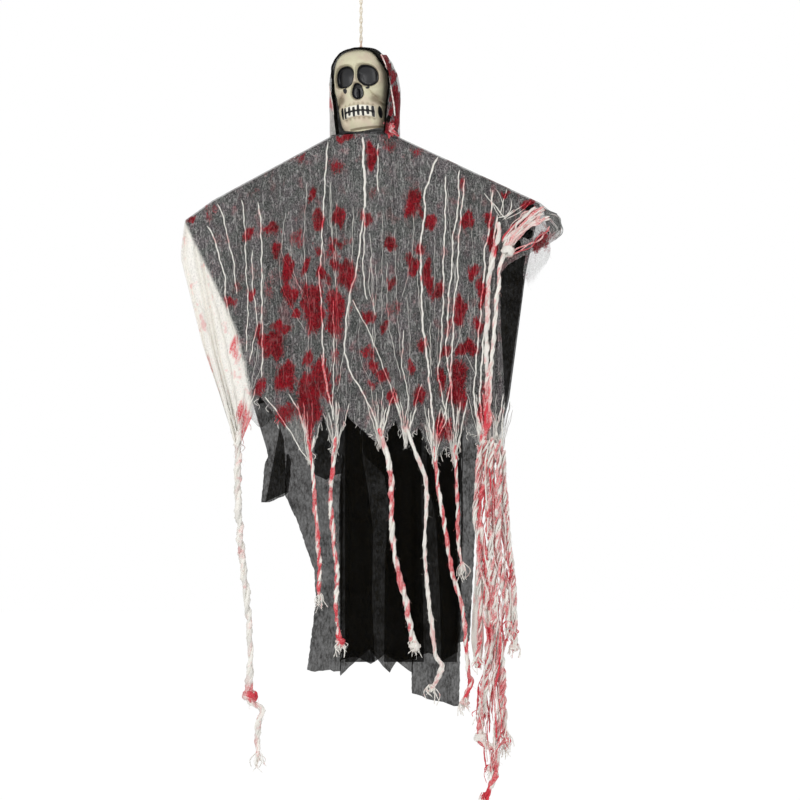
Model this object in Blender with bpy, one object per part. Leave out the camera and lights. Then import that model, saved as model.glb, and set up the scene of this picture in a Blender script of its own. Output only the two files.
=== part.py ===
# Hanging ghost decoration: a plastic skull in a hood, on a bent wire that carries a black robe
# and a stained gauze drape, hung from a doubled string. Metres, Z up, the face looks along -Y.
# The origin is the top of the string's loop.
import math

import bpy
from mathutils import Matrix, Vector

MM = 0.001
CLEARANCE = 0.3 * MM

# String and its knot
STRING_DIAMETER = 1.6 * MM
STRING_DROP = 104.0 * MM
LOOP_WIDTH = 10.0 * MM
LOOP_HEIGHT = 23.0 * MM
TWIST_RADIUS = 1.2 * MM
TWIST_PITCH = 23.0 * MM
STRING_STEP = 3.8 * MM
KNOT_DIAMETER = 10.5 * MM
KNOT_HEIGHT = 8.0 * MM

# Skull, measured from its chin up
SKULL_HEIGHT = 102.0 * MM
SKULL_WIDTH = 68.0 * MM
FACE_DEPTH = 37.0 * MM
CRANIUM_DEPTH = 38.0 * MM
SKULL_WALL = 1.6 * MM
CROWN_HOLE_RADIUS = 3.2 * MM
JAW_CORNER_RISE = 4.0 * MM
NAPE_RISE = 5.0 * MM
HEAD_YAW = math.radians(-15)
HEAD_ROLL = math.radians(-3.5)
EYE_SPACING = 29.0 * MM
EYE_WIDTH = 24.4 * MM
EYE_HEIGHT = 24.8 * MM
EYE_LEVEL = 66.5 * MM
EYE_DEPTH = 9.0 * MM
NOSE_WIDTH = 13.9 * MM
NOSE_HEIGHT = 18.4 * MM
NOSE_LEVEL = 49.3 * MM
NOSE_DEPTH = 6.0 * MM
CHEEK_LEVEL = 52.0 * MM
CHEEK_SPACING = 45.0 * MM
CHEEK_WIDTH = 20.0 * MM
CHEEK_HEIGHT = 12.0 * MM
CHEEK_RELIEF = 2.4 * MM
HOLLOW_DROP = 13.0 * MM
HOLLOW_WIDTH = 16.0 * MM
HOLLOW_HEIGHT = 14.0 * MM
CHEEK_SOFTNESS = 1.2
TOOTH_PITCH = 5.6 * MM
TEETH_PER_SIDE = 3.75
TEETH_LEVEL = 25.5 * MM
TEETH_HEIGHT = 14.0 * MM
TEETH_RELIEF = 1.5 * MM
BITE_CURVE = 3.0 * MM
TOOTH_GAP_DEPTH = 1.4 * MM
SLOT_SPACING = 49.0 * MM
SLOT_WIDTH = 5.0 * MM
SLOT_DEPTH = 3.0 * MM

# Foam plug in the neck opening
PLUG_BOTTOM = 3.0 * MM
PLUG_TOP = 14.0 * MM

# Shoulder wire
WIRE_DIAMETER = 2.5 * MM
STEM_SPACING = 4.8 * MM
STEM_RISE = 24.0 * MM
EYE_RING_RADIUS = 7.0 * MM

# Hood, two layers
HOOD_BACK_EASE = 9.0 * MM
HOOD_FRONT = 24.0 * MM
HOOD_FRONT_DROP = 4.0 * MM
HOOD_LAYER_GAP = 1.6 * MM
HOOD_HANG = 9.0 * MM
HOOD_HANG_START = 15.0 * MM
LINING_THICKNESS = 0.8 * MM
HOOD_GAUZE_THICKNESS = 0.9 * MM

# Shoulder line of the outer cloth: distance from the string and drop below the neck
CHIN_TO_NECK = 3.0 * MM
STEM_FOOT = 2.2 * MM
NECK_LEFT = 36.0 * MM
NECK_RIGHT = 43.0 * MM
ARM_LEFT = 178.0 * MM
ARM_RIGHT = 215.0 * MM
ARM_LEFT_DROP = 77.0 * MM
ARM_RIGHT_DROP = 80.0 * MM
CUFF_LEFT = 33.0 * MM
CUFF_LEFT_DROP = 24.0 * MM
CUFF_RIGHT = 26.0 * MM
CUFF_RIGHT_DROP = 35.0 * MM

# Body of the hanging cloth
BODY_DEPTH = 28.0 * MM
BODY_FALL = 220.0 * MM
NECK_DEPTH = 15.0 * MM
NECK_FALL = 60.0 * MM
ROBE_THICKNESS = 0.8 * MM
ROBE_SKIN = 5.0 * MM
ROBE_LENGTH = 381.0 * MM
ROBE_FOLD = 3.0 * MM
GAUZE_THICKNESS = 0.9 * MM
GAUZE_GAP = 0.4 * MM
GAUZE_SKIN = 9.4 * MM
GAUZE_LENGTH = 350.0 * MM
GAUZE_FOLD = 6.0 * MM
BACK_HEM_RISE = 12.0 * MM
CREST_HALF = 2.6 * MM
CREST_DROP = 0.9 * MM
TAIL_FRONT = 42.0 * MM
GATHER_RISE = 10.0 * MM

# Hem of the gauze: the top of each arch between two tails, from left to right (x, rise over the hem)
ARCHES = [(-153.6, -4), (-118.8, 38), (-43.2, 14), (-18, 15), (42, 8), (69.6, 0),
          (100.8, -23), (122.4, 3), (150, -5), (161, -8), (172.8, -3)]

# Each tail: gather (x, rise over the hem), flat width there, rolled radius, distance in front of its
# usual plane, and its fall from the gather as steps (across, down, thickness factor)
TAILS = [
    ((-145, -17), 13, 4.6, 0, [(0, 70, 1), (6, 142, 1), (12, 203, 0.9), (15, 258, 0.8), (14, 300, 1.9),
                               (27, 316, 0.8), (23, 340, 0.9), (24, 376, 0.6)]),
    ((-60, -32), 6, 2.6, 0, [(5, 39, 1), (10, 108, 1.2), (12, 137, 1), (10, 158, 1), (12, 172, 0.6)]),
    ((-30, -24), 7, 3.0, 0, [(-5, 56, 1), (-2, 108, 1), (2, 145, 1), (1, 180, 0.9), (3, 211, 0.8),
                             (6, 228, 1.7), (6, 236, 0.6)]),
    ((22, -14), 10, 3.8, 0, [(13, 34, 1), (15, 86, 0.9), (16, 121, 0.9), (23, 158, 1), (32, 193, 1.1),
                             (36, 214, 1), (42, 244, 1.7)]),
    ((54, -12), 7, 2.7, 0, [(12, 19, 1), (24, 55, 1), (22, 117, 0.7), (24, 164, 0.9), (31, 227, 1),
                            (35, 257, 1), (42, 272, 1.2), (29, 300, 0.8)]),
    ((87.6, -35), 5, 2.7, 0, [(4, 36, 1), (9, 62, 1), (21, 134, 1), (33, 179, 1), (40, 252, 1),
                              (43, 263, 1.3), (36, 290, 1.9)]),
    ((111.6, -33), 5, 2.5, 0, [(3, 46, 1), (4, 99, 1), (9, 134, 0.8)]),
    ((144, -21), 8, 4.2, 4, [(5, 32, 1), (-4, 66, 1), (-4, 85, 1), (7, 156, 1), (9, 220, 1),
                             (1, 294, 1), (-2, 345, 1.7), (14, 358, 0.9), (16, 386, 1), (3, 418, 1)]),
    ((156, -24), 6, 2.8, -8, [(2, 86, 1), (4, 134, 1), (4, 192, 1), (8, 244, 1), (12, 300, 1),
                              (15, 356, 0.7)]),
    ((166, -27), 6, 3.0, 0, [(1, 79, 1), (11, 132, 1), (16, 192, 1), (16, 232, 1.9)]),
]

# How far across a column of gauze has moved from shoulder to hem, at fractions of its fall
GAUZE_LEFT_SWING = [(0, 0), (0.18, -0.08), (0.38, 0.15), (0.6, 0.4), (0.81, 0.73), (1, 1)]
GAUZE_RIGHT_SWING = [(0, 0), (0.23, 0.53), (0.43, 0.7), (0.75, 0.88), (1, 1)]
ROBE_LEFT_SWING = [(0, 0), (0.41, 0.49), (0.64, 0.7), (1, 1)]
ROBE_RIGHT_SWING = [(0, 0), (0.28, 0.33), (0.46, 0.46), (0.79, 0.7), (1, 1)]

# Robe's cut strips: columns, places of the cuts, and the bottom of each strip as (x, drop under the cuts)
ROBE_CUTS = [-110, -85, -23, 63, 120, 138, 160]
FRONT_STRIPS = [
    [(-115, 58), (-103, 56), (-89, 46)],
    [(-60, 256), (-49, 258), (-37, 257), (-26, 258)],
    [(-21, 263), (-6, 248), (11, 232), (34, 260), (41, 245), (59, 261)],
    [(64, 284), (80, 290), (97, 294), (114, 300)],
    [(121, 224), (126, 222)],
    [(141, 22), (149, 18), (160, 8)],
]
BACK_STRIPS = [
    [(-110, 20), (-98, 26), (-86, 18)],
    [(-84, 30), (-64, 22), (-44, 32), (-25, 24)],
    [(-21, 252), (-5, 246), (12, 256), (28, 244), (44, 254), (61, 248)],
    [(65, 250), (82, 242), (98, 252), (114, 240)],
    [(121, 60), (136, 52)],
    [(140, 16), (149, 22), (160, 10)],
]
STRIP_BOW = [0, 20, 0, 0, 6, 0]
STRIP_ROWS = [2, 6, 6, 6, 5, 1]


def remove_scene_objects():
    for item in list(bpy.data.objects):
        bpy.data.objects.remove(item, do_unlink=True)


def material(name, colour, roughness, metallic=0.0):
    made = bpy.data.materials.new(name)
    made.use_nodes = True
    shader = made.node_tree.nodes["Principled BSDF"]
    shader.inputs["Base Color"].default_value = (*colour, 1)
    shader.inputs["Roughness"].default_value = roughness
    shader.inputs["Metallic"].default_value = metallic
    return made


def mesh_object(name, points, faces, finish):
    mesh = bpy.data.meshes.new(name)
    mesh.from_pydata([tuple(point) for point in points], [], faces)
    mesh.materials.append(finish)
    mesh.shade_smooth()
    mesh.set_sharp_from_angle(angle=math.radians(50))
    made = bpy.data.objects.new(name, mesh)
    bpy.context.scene.collection.objects.link(made)
    return made


def thicken(item, thickness):
    solidify = item.modifiers.new("Thickness", "SOLIDIFY")
    solidify.thickness = thickness
    solidify.offset = -1
    solidify.use_rim = True


def wire_object(name, points, diameter, finish, resolution):
    curve = bpy.data.curves.new(name, "CURVE")
    curve.dimensions = "3D"
    curve.bevel_depth = diameter / 2
    curve.bevel_resolution = resolution
    curve.use_fill_caps = True
    spline = curve.splines.new("POLY")
    spline.points.add(len(points) - 1)
    for target, point in zip(spline.points, points):
        target.co = (*point, 1)
    curve.materials.append(finish)
    made = bpy.data.objects.new(name, curve)
    bpy.context.scene.collection.objects.link(made)
    return made


def along(stops, value):
    """Read a list of (place, height) stops at a place, straight between stops."""
    if value <= stops[0][0]:
        return stops[0][1]
    for (low, first), (high, last) in zip(stops, stops[1:]):
        if value <= high:
            return first + (last - first) * (value - low) / (high - low)
    return stops[-1][1]


def smooth_step(value):
    value = min(max(value, 0), 1)
    return value * value * (3 - 2 * value)


def smooth_path(points, step):
    """Points about one step apart on a Catmull-Rom curve through the given points."""
    points = [Vector(point) for point in points]
    ends = [points[0] * 2 - points[1]] + points + [points[-1] * 2 - points[-2]]
    path = []
    for a, b, c, d in zip(ends, ends[1:], ends[2:], ends[3:]):
        count = max(1, round((c - b).length / step))
        for index in range(count):
            t = index / count
            bend = (a * -1 + b * 3 - c * 3 + d) * t ** 3
            ease = (a * 2 - b * 5 + c * 4 - d) * t ** 2
            path.append((b * 2 + (c - a) * t + ease + bend) * 0.5)
    path.append(points[-1])
    return path


# Skull

CROWN_Z = -STRING_DROP
HEAD = (Matrix.Translation((0, 0, CROWN_Z)) @ Matrix.Rotation(HEAD_ROLL, 4, "Y")
        @ Matrix.Rotation(HEAD_YAW, 4, "Z") @ Matrix.Translation((0, 0, -SKULL_HEIGHT)))

# Share of the half width, of the face's depth and of the cranium's depth, at shares of the height
JAW_TURN = 0.08
HALF_WIDTH = [(0, 0.64), (JAW_TURN, 0.78), (0.18, 0.83), (0.26, 0.86), (0.4, 0.92), (0.52, 0.97),
              (0.66, 0.98), (0.77, 0.94), (0.86, 0.82), (0.92, 0.69), (0.97, 0.45), (1, 0)]
FRONT_DEPTH = [(0, 0.82), (JAW_TURN, 0.92), (0.18, 0.95), (0.26, 0.97), (0.4, 0.94), (0.52, 0.95),
               (0.66, 0.95), (0.77, 1), (0.86, 0.93), (0.92, 0.77), (0.97, 0.48), (1, 0)]
BACK_DEPTH = [(0, 0.52), (0.2, 0.66), (0.4, 0.86), (0.6, 1), (0.74, 0.99), (0.86, 0.88), (0.92, 0.72),
              (0.97, 0.47), (1, 0)]
SKULL_LEVELS = [0, 8.2, 12, 16, 19, 22.5, 25.5, 28.5, 32, 36, 40.5, 45, 49.5, 54, 58, 62, 66.5, 71, 75, 79,
                84, 90, 95, 99, 102]
BACK_LEVELS = [0, 8.2, 18.4, 32, 46, 60, 74, 84, 92, 98, 102]
BACK_COLUMNS = [-1, -0.985, -0.9, -0.7, -0.4, 0, 0.4, 0.7, 0.9, 0.985, 1]
FACE_SQUARENESS = 2.6
CRANIUM_SQUARENESS = 2.2


def oval(x, z, centre_x, centre_z, width, height, soft):
    """1 inside an oval, falling to 0 over a share of its radius."""
    reach = math.hypot((x - centre_x) / (width / 2), (z - centre_z) / (height / 2))
    return smooth_step((1 + soft / 2 - reach) / soft)


def face_relief(x, z):
    """How far the face stands back (+) or forward (-) of its plain section."""
    side = abs(x)
    deep = EYE_DEPTH * oval(side, z, EYE_SPACING / 2, EYE_LEVEL, EYE_WIDTH, EYE_HEIGHT, 0.5)
    deep += NOSE_DEPTH * oval(side, z, NOSE_WIDTH * 0.14, NOSE_LEVEL, NOSE_WIDTH * 0.8, NOSE_HEIGHT, 0.6)
    cheek = CHEEK_SPACING / 2
    hollow = CHEEK_LEVEL - HOLLOW_DROP
    deep -= CHEEK_RELIEF * oval(side, z, cheek, CHEEK_LEVEL, CHEEK_WIDTH, CHEEK_HEIGHT, CHEEK_SOFTNESS)
    deep += CHEEK_RELIEF * oval(side, z, cheek, hollow, HOLLOW_WIDTH, HOLLOW_HEIGHT, CHEEK_SOFTNESS)
    half_row = TEETH_PER_SIDE * TOOTH_PITCH
    in_row = smooth_step((half_row - side) / (2 * MM) + 0.5)
    bite = TEETH_LEVEL - BITE_CURVE * (side / half_row) ** 2
    in_band = smooth_step((TEETH_HEIGHT / 2 - abs(z - bite)) / (2 * MM) + 0.5)
    deep -= TEETH_RELIEF * in_row * in_band
    gap = 0.5 + 0.5 * math.cos(2 * math.pi * side / TOOTH_PITCH)
    deep += TOOTH_GAP_DEPTH * gap * in_row * in_band
    deep += TOOTH_GAP_DEPTH * smooth_step(1 - abs(z - bite) / (1.6 * MM)) * in_row
    deep += SLOT_DEPTH * oval(side, z, SLOT_SPACING / 2, TEETH_LEVEL - 3 * MM, SLOT_WIDTH, TEETH_HEIGHT, 0.8)
    return deep


def skull_point(share, z, back, inset):
    """A point of the skull's outer (inset 0) or inner skin; share runs -1 to 1 across it."""
    level = z / SKULL_HEIGHT
    half = max(SKULL_WIDTH / 2 * along(HALF_WIDTH, level) - inset, CROWN_HOLE_RADIUS)
    squareness = CRANIUM_SQUARENESS if back else FACE_SQUARENESS
    depth = CRANIUM_DEPTH if back else FACE_DEPTH
    profile = BACK_DEPTH if back else FRONT_DEPTH
    reach = max(depth * along(profile, level) - inset, CROWN_HOLE_RADIUS)
    x = half * share
    out = reach * max(1 - abs(share) ** squareness, 0) ** (1 / squareness)
    if back:
        return Vector((x, out + CLEARANCE / 2, z))
    calm = smooth_step(out / (8 * MM))
    return Vector((x, -(out - face_relief(x, z) * calm) - CLEARANCE / 2, z))


def skull_shell(name, levels, columns, back, finish):
    rows = []
    scale = SKULL_HEIGHT / (levels[-1] * MM)
    for inset in (0, SKULL_WALL):
        skin = []
        for index, level in enumerate(levels):
            line = []
            for share in columns:
                z = level * MM * scale
                if index == 0 and back:
                    z = JAW_CORNER_RISE + (NAPE_RISE - JAW_CORNER_RISE) * (1 - share * share)
                elif index == 0:
                    z = JAW_CORNER_RISE * share * share
                point = skull_point(share, z, back, inset)
                point.z -= inset * smooth_step((z / SKULL_HEIGHT - 0.8) / 0.12)
                line.append(HEAD @ point)
            skin.append(line)
        rows.append(skin)
    points = [point for skin in rows for line in skin for point in line]
    wide = len(columns)
    tall = len(levels)
    inner = wide * tall
    faces = []
    for row in range(tall - 1):
        for column in range(wide - 1):
            a = row * wide + column
            outer = (a, a + 1, a + 1 + wide, a + wide)
            faces.append(outer)
            faces.append(tuple(inner + corner for corner in reversed(outer)))
    loop = list(range(wide))
    loop += [row * wide + wide - 1 for row in range(1, tall)]
    loop += [(tall - 1) * wide + column for column in range(wide - 2, -1, -1)]
    loop += [row * wide for row in range(tall - 2, 0, -1)]
    for first, last in zip(loop, loop[1:] + loop[:1]):
        faces.append((last, first, first + inner, last + inner))
    if back:
        faces = [tuple(reversed(face)) for face in faces]
    return mesh_object(name, points, faces, finish)


def face_columns():
    """Shares of the half width: one at each tooth gap and tooth, then closer round the side."""
    teeth_half = SKULL_WIDTH / 2 * along(HALF_WIDTH, TEETH_LEVEL / SKULL_HEIGHT)
    side = [index * TOOTH_PITCH / 2 / teeth_half for index in range(1, 8)]
    last = side[-1]
    side += [last + (1 - last) * step for step in (0.3, 0.58, 0.8, 0.93, 1)]
    return [-share for share in reversed(side)] + [0] + side


# Neck plug and wire

def world_x_in_head():
    """The direction of world X, seen in the head's level plane."""
    across = HEAD.to_3x3().inverted() @ Vector((1, 0, 0))
    across.z = 0
    return across.normalized()


def neck_plug(finish):
    """A foam plug that follows the skull's inner skin, with a slot for the doubled stem."""
    across = world_x_in_head()
    forward = Vector((across.y, -across.x, 0))
    outline = [(share, False) for share in face_columns()[::2]]
    outline += [(share, True) for share in reversed(BACK_COLUMNS[1:-1])]
    sides = len(outline)
    levels = [PLUG_BOTTOM, JAW_TURN * SKULL_HEIGHT, PLUG_TOP]
    slot_round = WIRE_DIAMETER / 2 + CLEARANCE
    outer = []
    inner = []
    for z in levels:
        for share, back in outline:
            edge = skull_point(share, z, back, SKULL_WALL + CLEARANCE)
            outer.append(HEAD @ edge)
            angle = math.atan2(edge.y, edge.x)
            run = math.copysign(STEM_SPACING / 2, math.cos(angle))
            hole = across * (run + slot_round * math.cos(angle)) - forward * slot_round * math.sin(angle)
            hole.z = z
            inner.append(HEAD @ hole)
    faces = []
    start = len(outer)
    top = sides * (len(levels) - 1)
    for index in range(sides):
        after = (index + 1) % sides
        for row in range(0, top, sides):
            faces.append((row + index, row + after, row + after + sides, row + index + sides))
            faces.append((start + row + index, start + row + index + sides,
                          start + row + after + sides, start + row + after))
        faces.append((index, start + index, start + after, after))
        faces.append((top + index, top + after, start + top + after, start + top + index))
    return mesh_object("neck_plug", outer + inner, faces, finish)


# Shoulder line of the gauze, the robe under it and the wire under that

NECK_Z = CROWN_Z - SKULL_HEIGHT - CHIN_TO_NECK
SHOULDER = [
    Vector((-ARM_LEFT - CUFF_LEFT, 0, NECK_Z - ARM_LEFT_DROP - CUFF_LEFT_DROP)),
    Vector((-ARM_LEFT, 0, NECK_Z - ARM_LEFT_DROP)),
    Vector((-NECK_LEFT, 0, NECK_Z)),
    Vector((NECK_RIGHT, 0, NECK_Z)),
    Vector((ARM_RIGHT, 0, NECK_Z - ARM_RIGHT_DROP)),
    Vector((ARM_RIGHT + CUFF_RIGHT * 0.7, 0, NECK_Z - ARM_RIGHT_DROP - CUFF_RIGHT_DROP * 0.42)),
    Vector((ARM_RIGHT + CUFF_RIGHT, 0, NECK_Z - ARM_RIGHT_DROP - CUFF_RIGHT_DROP)),
]


def lowered(line, distance):
    """The same line moved square to itself, down and inward."""
    moved = []
    for index, point in enumerate(line):
        before = line[max(index - 1, 0)]
        after = line[min(index + 1, len(line) - 1)]
        first = (point - before if index else after - point).normalized()
        last = (after - point if index < len(line) - 1 else point - before).normalized()
        down = Vector((first.z + last.z, 0, -first.x - last.x)).normalized()
        lean = down.dot(Vector((first.z, 0, -first.x)))
        moved.append(point + down * distance / lean)
    return moved


ROBE_LINE = lowered(SHOULDER, GAUZE_THICKNESS + GAUZE_GAP)[:5]
WIRE_SEAT = ROBE_THICKNESS + 1.7 * CLEARANCE + WIRE_DIAMETER / 2
WIRE_LINE = lowered(ROBE_LINE, WIRE_SEAT)


def line_height(line, x):
    return along([(point.x, point.z) for point in line], x)


def shoulder_wire(finish):
    across = world_x_in_head()

    def stem(side, rise):
        return HEAD @ (across * side * STEM_SPACING / 2 + Vector((0, 0, rise)))

    def ring(end, before, turn):
        """A ring at an arm's end: the wire curls under and back towards the arm."""
        run = (end - before).normalized()
        down = Vector((run.z, 0, -run.x)) if run.x > 0 else Vector((-run.z, 0, run.x))
        centre = end + down * EYE_RING_RADIUS
        places = []
        for index in range(1, 10):
            angle = turn * index / 9
            places.append(centre + (run * math.sin(angle) - down * math.cos(angle)) * EYE_RING_RADIUS)
        return places

    reach = 2 * WIRE_DIAMETER
    left_end = WIRE_LINE[1]
    right_end = WIRE_LINE[4]
    left_turn = WIRE_LINE[2]
    right_turn = WIRE_LINE[3]
    foot = -STEM_FOOT
    left_foot = stem(-1, foot)
    right_foot = stem(1, foot)
    left_root = Vector((left_foot.x - reach, 0, WIRE_LINE[2].z))
    right_root = Vector((right_foot.x + reach, 0, WIRE_LINE[3].z))
    bend = []
    for index in range(1, 6):
        angle = math.pi * index / 6
        bend.append(HEAD @ (across * -STEM_SPACING / 2 * math.cos(angle)
                            + Vector((0, 0, STEM_RISE + STEM_SPACING / 2 * math.sin(angle)))))
    path = list(reversed(ring(left_end, left_turn, math.radians(300))))
    path += [left_end, left_turn, left_root, left_foot, stem(-1, 0), stem(-1, STEM_RISE)]
    path += bend
    path += [stem(1, STEM_RISE), stem(1, 0), right_foot, right_root, right_turn, right_end]
    path += ring(right_end, right_turn, math.radians(300))
    return wire_object("shoulder_wire", path, WIRE_DIAMETER, finish, 2)


# String

def string_path():
    base = -STRING_DIAMETER / 2 - LOOP_HEIGHT
    end = CROWN_Z - SKULL_WALL - CLEARANCE
    turns = (base - end) / TWIST_PITCH
    count = round((base - end) / STRING_STEP)
    strand = []
    for index in range(count + 1):
        angle = 2 * math.pi * turns * index / count
        z = base + (end - base) * index / count
        strand.append(Vector((-TWIST_RADIUS * math.cos(angle), -TWIST_RADIUS * math.sin(angle), z)))
    half = LOOP_WIDTH / 2
    shape = [(0.36, 0.22), (0.78, 0.48), (1, 0.71), (0.72, 0.92)]
    side = [Vector((-half * wide, 0, base + LOOP_HEIGHT * high)) for wide, high in shape]
    top = Vector((0, 0, -STRING_DIAMETER / 2))
    rising = [strand[0]] + side + [top]
    falling = [Vector((-point.x, point.y, point.z)) for point in reversed(rising[:-1])]
    loop = smooth_path(rising + falling, STRING_STEP)
    other = [Vector((-point.x, -point.y, point.z)) for point in strand]
    return list(reversed(strand))[:-1] + loop + other[1:]


def string_knot(finish):
    """A wrapped overhand knot, turned as a squashed ball whose top sits under the crown."""
    top = CROWN_Z - SKULL_WALL - 2 * CLEARANCE
    sides = 12
    radius = KNOT_DIAMETER / 2
    rings = [(0.62, 0.0), (0.94, 0.2), (1, 0.45), (0.86, 0.74), (0.45, 0.96)]
    points = [Vector((0, 0, top))]
    for wide, down in rings:
        for index in range(sides):
            angle = 2 * math.pi * index / sides
            swell = 1 + 0.07 * math.cos(3 * angle + 4 * down)
            x = radius * wide * swell * math.cos(angle)
            y = radius * wide * swell * math.sin(angle)
            points.append(Vector((x, y, top - KNOT_HEIGHT * down)))
    points.append(Vector((0, 0, top - KNOT_HEIGHT)))
    faces = []
    for index in range(sides):
        after = (index + 1) % sides
        faces.append((0, 1 + index, 1 + after))
        for row in range(len(rings) - 1):
            a = 1 + row * sides
            faces.append((a + index, a + sides + index, a + sides + after, a + after))
        low = 1 + (len(rings) - 1) * sides
        faces.append((low + index, len(points) - 1, low + after))
    return mesh_object("string_knot", points, faces, finish)


# Hood

# The hood's arch and closings are drawn over a skull of this size and stretched to the real one
DRAWN_WIDTH = 68.0 * MM
DRAWN_HEIGHT = 102.0 * MM
# Arch of the hood from its spring to its crown: half width and height over the chin
HOOD_ARCH = [(40.7, 50), (38.4, 70), (35.2, 79), (31.8, 87), (27, 94), (19.5, 101), (4.2, 104)]
# How far the lining closes in on the face at its front edge, at heights over the chin
LINING_CLOSE = [(0, 0.38), (37, 0.31), (50, 0.26), (66, 0.2), (80, 0.09), (104, 0.07)]
GAUZE_CLOSE = [(0, 0.04), (104, 0.04)]
# Where each column of the gauze starts, from -1 at the front edge to 0 over the string
GAUZE_STARTS = [-1, -1, -1, -0.6, 0, 0.1, 0.13, 0.15, 0.16, 0.16, -0.1, -0.75, -1, -1, -1, -1, -1, -1]
HOOD_DEPTHS = [0, 0.22, 0.4, 0.56, 0.71, 0.87, 0.97, 1]
HOOD_SPRING = HOOD_ARCH[0][1] * MM * SKULL_HEIGHT / DRAWN_HEIGHT
HOOD_TOP = HOOD_ARCH[-1][1] * MM * SKULL_HEIGHT / DRAWN_HEIGHT
HOOD_HOLE_COLUMN = 8
HOOD_HOLE_DEPTH = 2


def hood_layer(name, outset, thickness, starts, closing, finish):
    """One layer of the hood: an arch over the head, closed at the back, open at the face."""
    back = CRANIUM_DEPTH + HOOD_BACK_EASE + outset
    widen = SKULL_WIDTH / DRAWN_WIDTH
    heighten = SKULL_HEIGHT / DRAWN_HEIGHT
    arch = [(half * MM * widen + outset, height * MM * heighten) for half, height in HOOD_ARCH]
    columns = [(-half, height) for half, height in arch] + list(reversed(arch))
    points = []
    grid = []
    for run in HOOD_DEPTHS:
        line = []
        for number, (half, height) in enumerate(columns):
            start = starts[number + 2] if starts else -1
            depth = start + (1 - start) * run
            near = max(-depth, 0) ** 1.5
            y = depth * back if depth > 0 else depth * HOOD_FRONT
            close = max(1 - max(depth, 0) ** 2.4, 0) ** (1 / 2.4)
            rise = (height - HOOD_SPRING) / (HOOD_TOP - HOOD_SPRING)
            x = half * close * (1 - near * along(closing, height / MM / heighten))
            lift = (height - HOOD_SPRING + outset * rise) * close - near * HOOD_FRONT_DROP * rise
            line.append(HEAD @ Vector((x, y, HOOD_SPRING + lift)))
        for end in (0, -1):
            side = line[end]
            near = max(-(starts[end] if starts else -1) - 2 * run, 0) ** 1.5
            tuck = near * (along(closing, 0) - along(closing, HOOD_ARCH[0][1])) * columns[end][0]
            rim = line_height(SHOULDER, side.x - tuck) + 2 * CLEARANCE
            rim -= HOOD_HANG * smooth_step((abs(side.y) - HOOD_HANG_START) / (6 * MM))
            drop = Vector((-tuck, 0, rim - side.z))
            skirt = [side + drop * 0.5, side + drop]
            line = list(reversed(skirt)) + line if end == 0 else line + skirt
        grid.append(list(range(len(points), len(points) + len(line))))
        points += line
    spine = grid[-1]
    for index in range(len(spine) // 2):
        spine[-1 - index] = spine[index]
    faces = []
    for depth, (near, far) in enumerate(zip(grid, grid[1:])):
        for column in range(len(near) - 1):
            if not starts and depth == HOOD_HOLE_DEPTH and column == HOOD_HOLE_COLUMN:
                continue
            face = []
            for corner in (near[column], near[column + 1], far[column + 1], far[column]):
                if corner not in face:
                    face.append(corner)
            if len(face) > 2:
                faces.append(tuple(face))
    used = sorted({corner for face in faces for corner in face})
    place = {corner: index for index, corner in enumerate(used)}
    faces = [tuple(place[corner] for corner in face) for face in faces]
    made = mesh_object(name, [points[corner] for corner in used], faces, finish)
    thicken(made, thickness)
    return made


# Cloth over the shoulders

def body_depth(x, z, skin):
    """How far a layer of cloth hangs in front of or behind the arms, at a place on the body."""
    fall = max(line_height(SHOULDER, x) - z, 0)
    deep = skin + BODY_DEPTH * (1 - math.exp(-fall / BODY_FALL))
    middle = (NECK_RIGHT - NECK_LEFT) / 2
    half = (NECK_RIGHT + NECK_LEFT) / 2
    share = min(abs(x - middle) / half, 1)
    return deep + NECK_DEPTH * math.sqrt(1 - share * share) * math.exp(-fall / NECK_FALL)


class Cloth:
    """One layer of cloth as a grid of points: front and back fall from a shared shoulder line."""

    def __init__(self):
        self.points = []
        self.faces = []

    def add(self, x, y, z):
        self.points.append(Vector((x, y, z)))
        return len(self.points) - 1

    def skin(self, upper, lower, front):
        for column in range(len(upper) - 1):
            face = (upper[column], lower[column], lower[column + 1], upper[column + 1])
            self.faces.append(face if front else tuple(reversed(face)))


def shoulder_columns(line, counts):
    """Points along a shoulder line, with so many columns between each two of its corners."""
    places = [line[0]]
    for before, after, count in zip(line, line[1:], counts):
        places += [before.lerp(after, step / count) for step in range(1, count + 1)]
    return places


def crest_rows(cloth, places, neck, line_skin, front):
    """The rows of cloth that bend over the wire; the neck's columns stand open as a slit."""
    side = -1 if front else 1
    narrow = []
    first, last = neck
    for index, place in enumerate(places):
        reach = CREST_HALF + line_skin
        drop = CREST_DROP + line_skin * 0.35
        if first < index < last:
            reach = max(reach, body_depth(place.x, place.z, 0) + line_skin)
            drop += 2 * MM
        narrow.append(cloth.add(place.x, side * reach, place.z - drop))
    return narrow


def swing(left, right, share, fall):
    return along(left, fall) * (1 - share) + along(right, fall) * share


def fall_rows(cloth, places, ends, falls, swings, skin, fold, front):
    """Rows of a side of cloth from under the shoulder down to its hem or to its cuts."""
    side = -1 if front else 1
    rows = []
    last = len(places) - 1
    for fall in falls:
        row = []
        for index, (place, end) in enumerate(zip(places, ends)):
            move = swing(*swings, index / last, fall)
            x = place.x + (end[0] - place.x) * move
            z = place.z + (end[1] - place.z) * fall
            deep = body_depth(x, z, skin) + fold(index) * smooth_step(fall * 1.3)
            row.append(cloth.add(x, side * deep, z))
        rows.append(row)
    return rows


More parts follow.
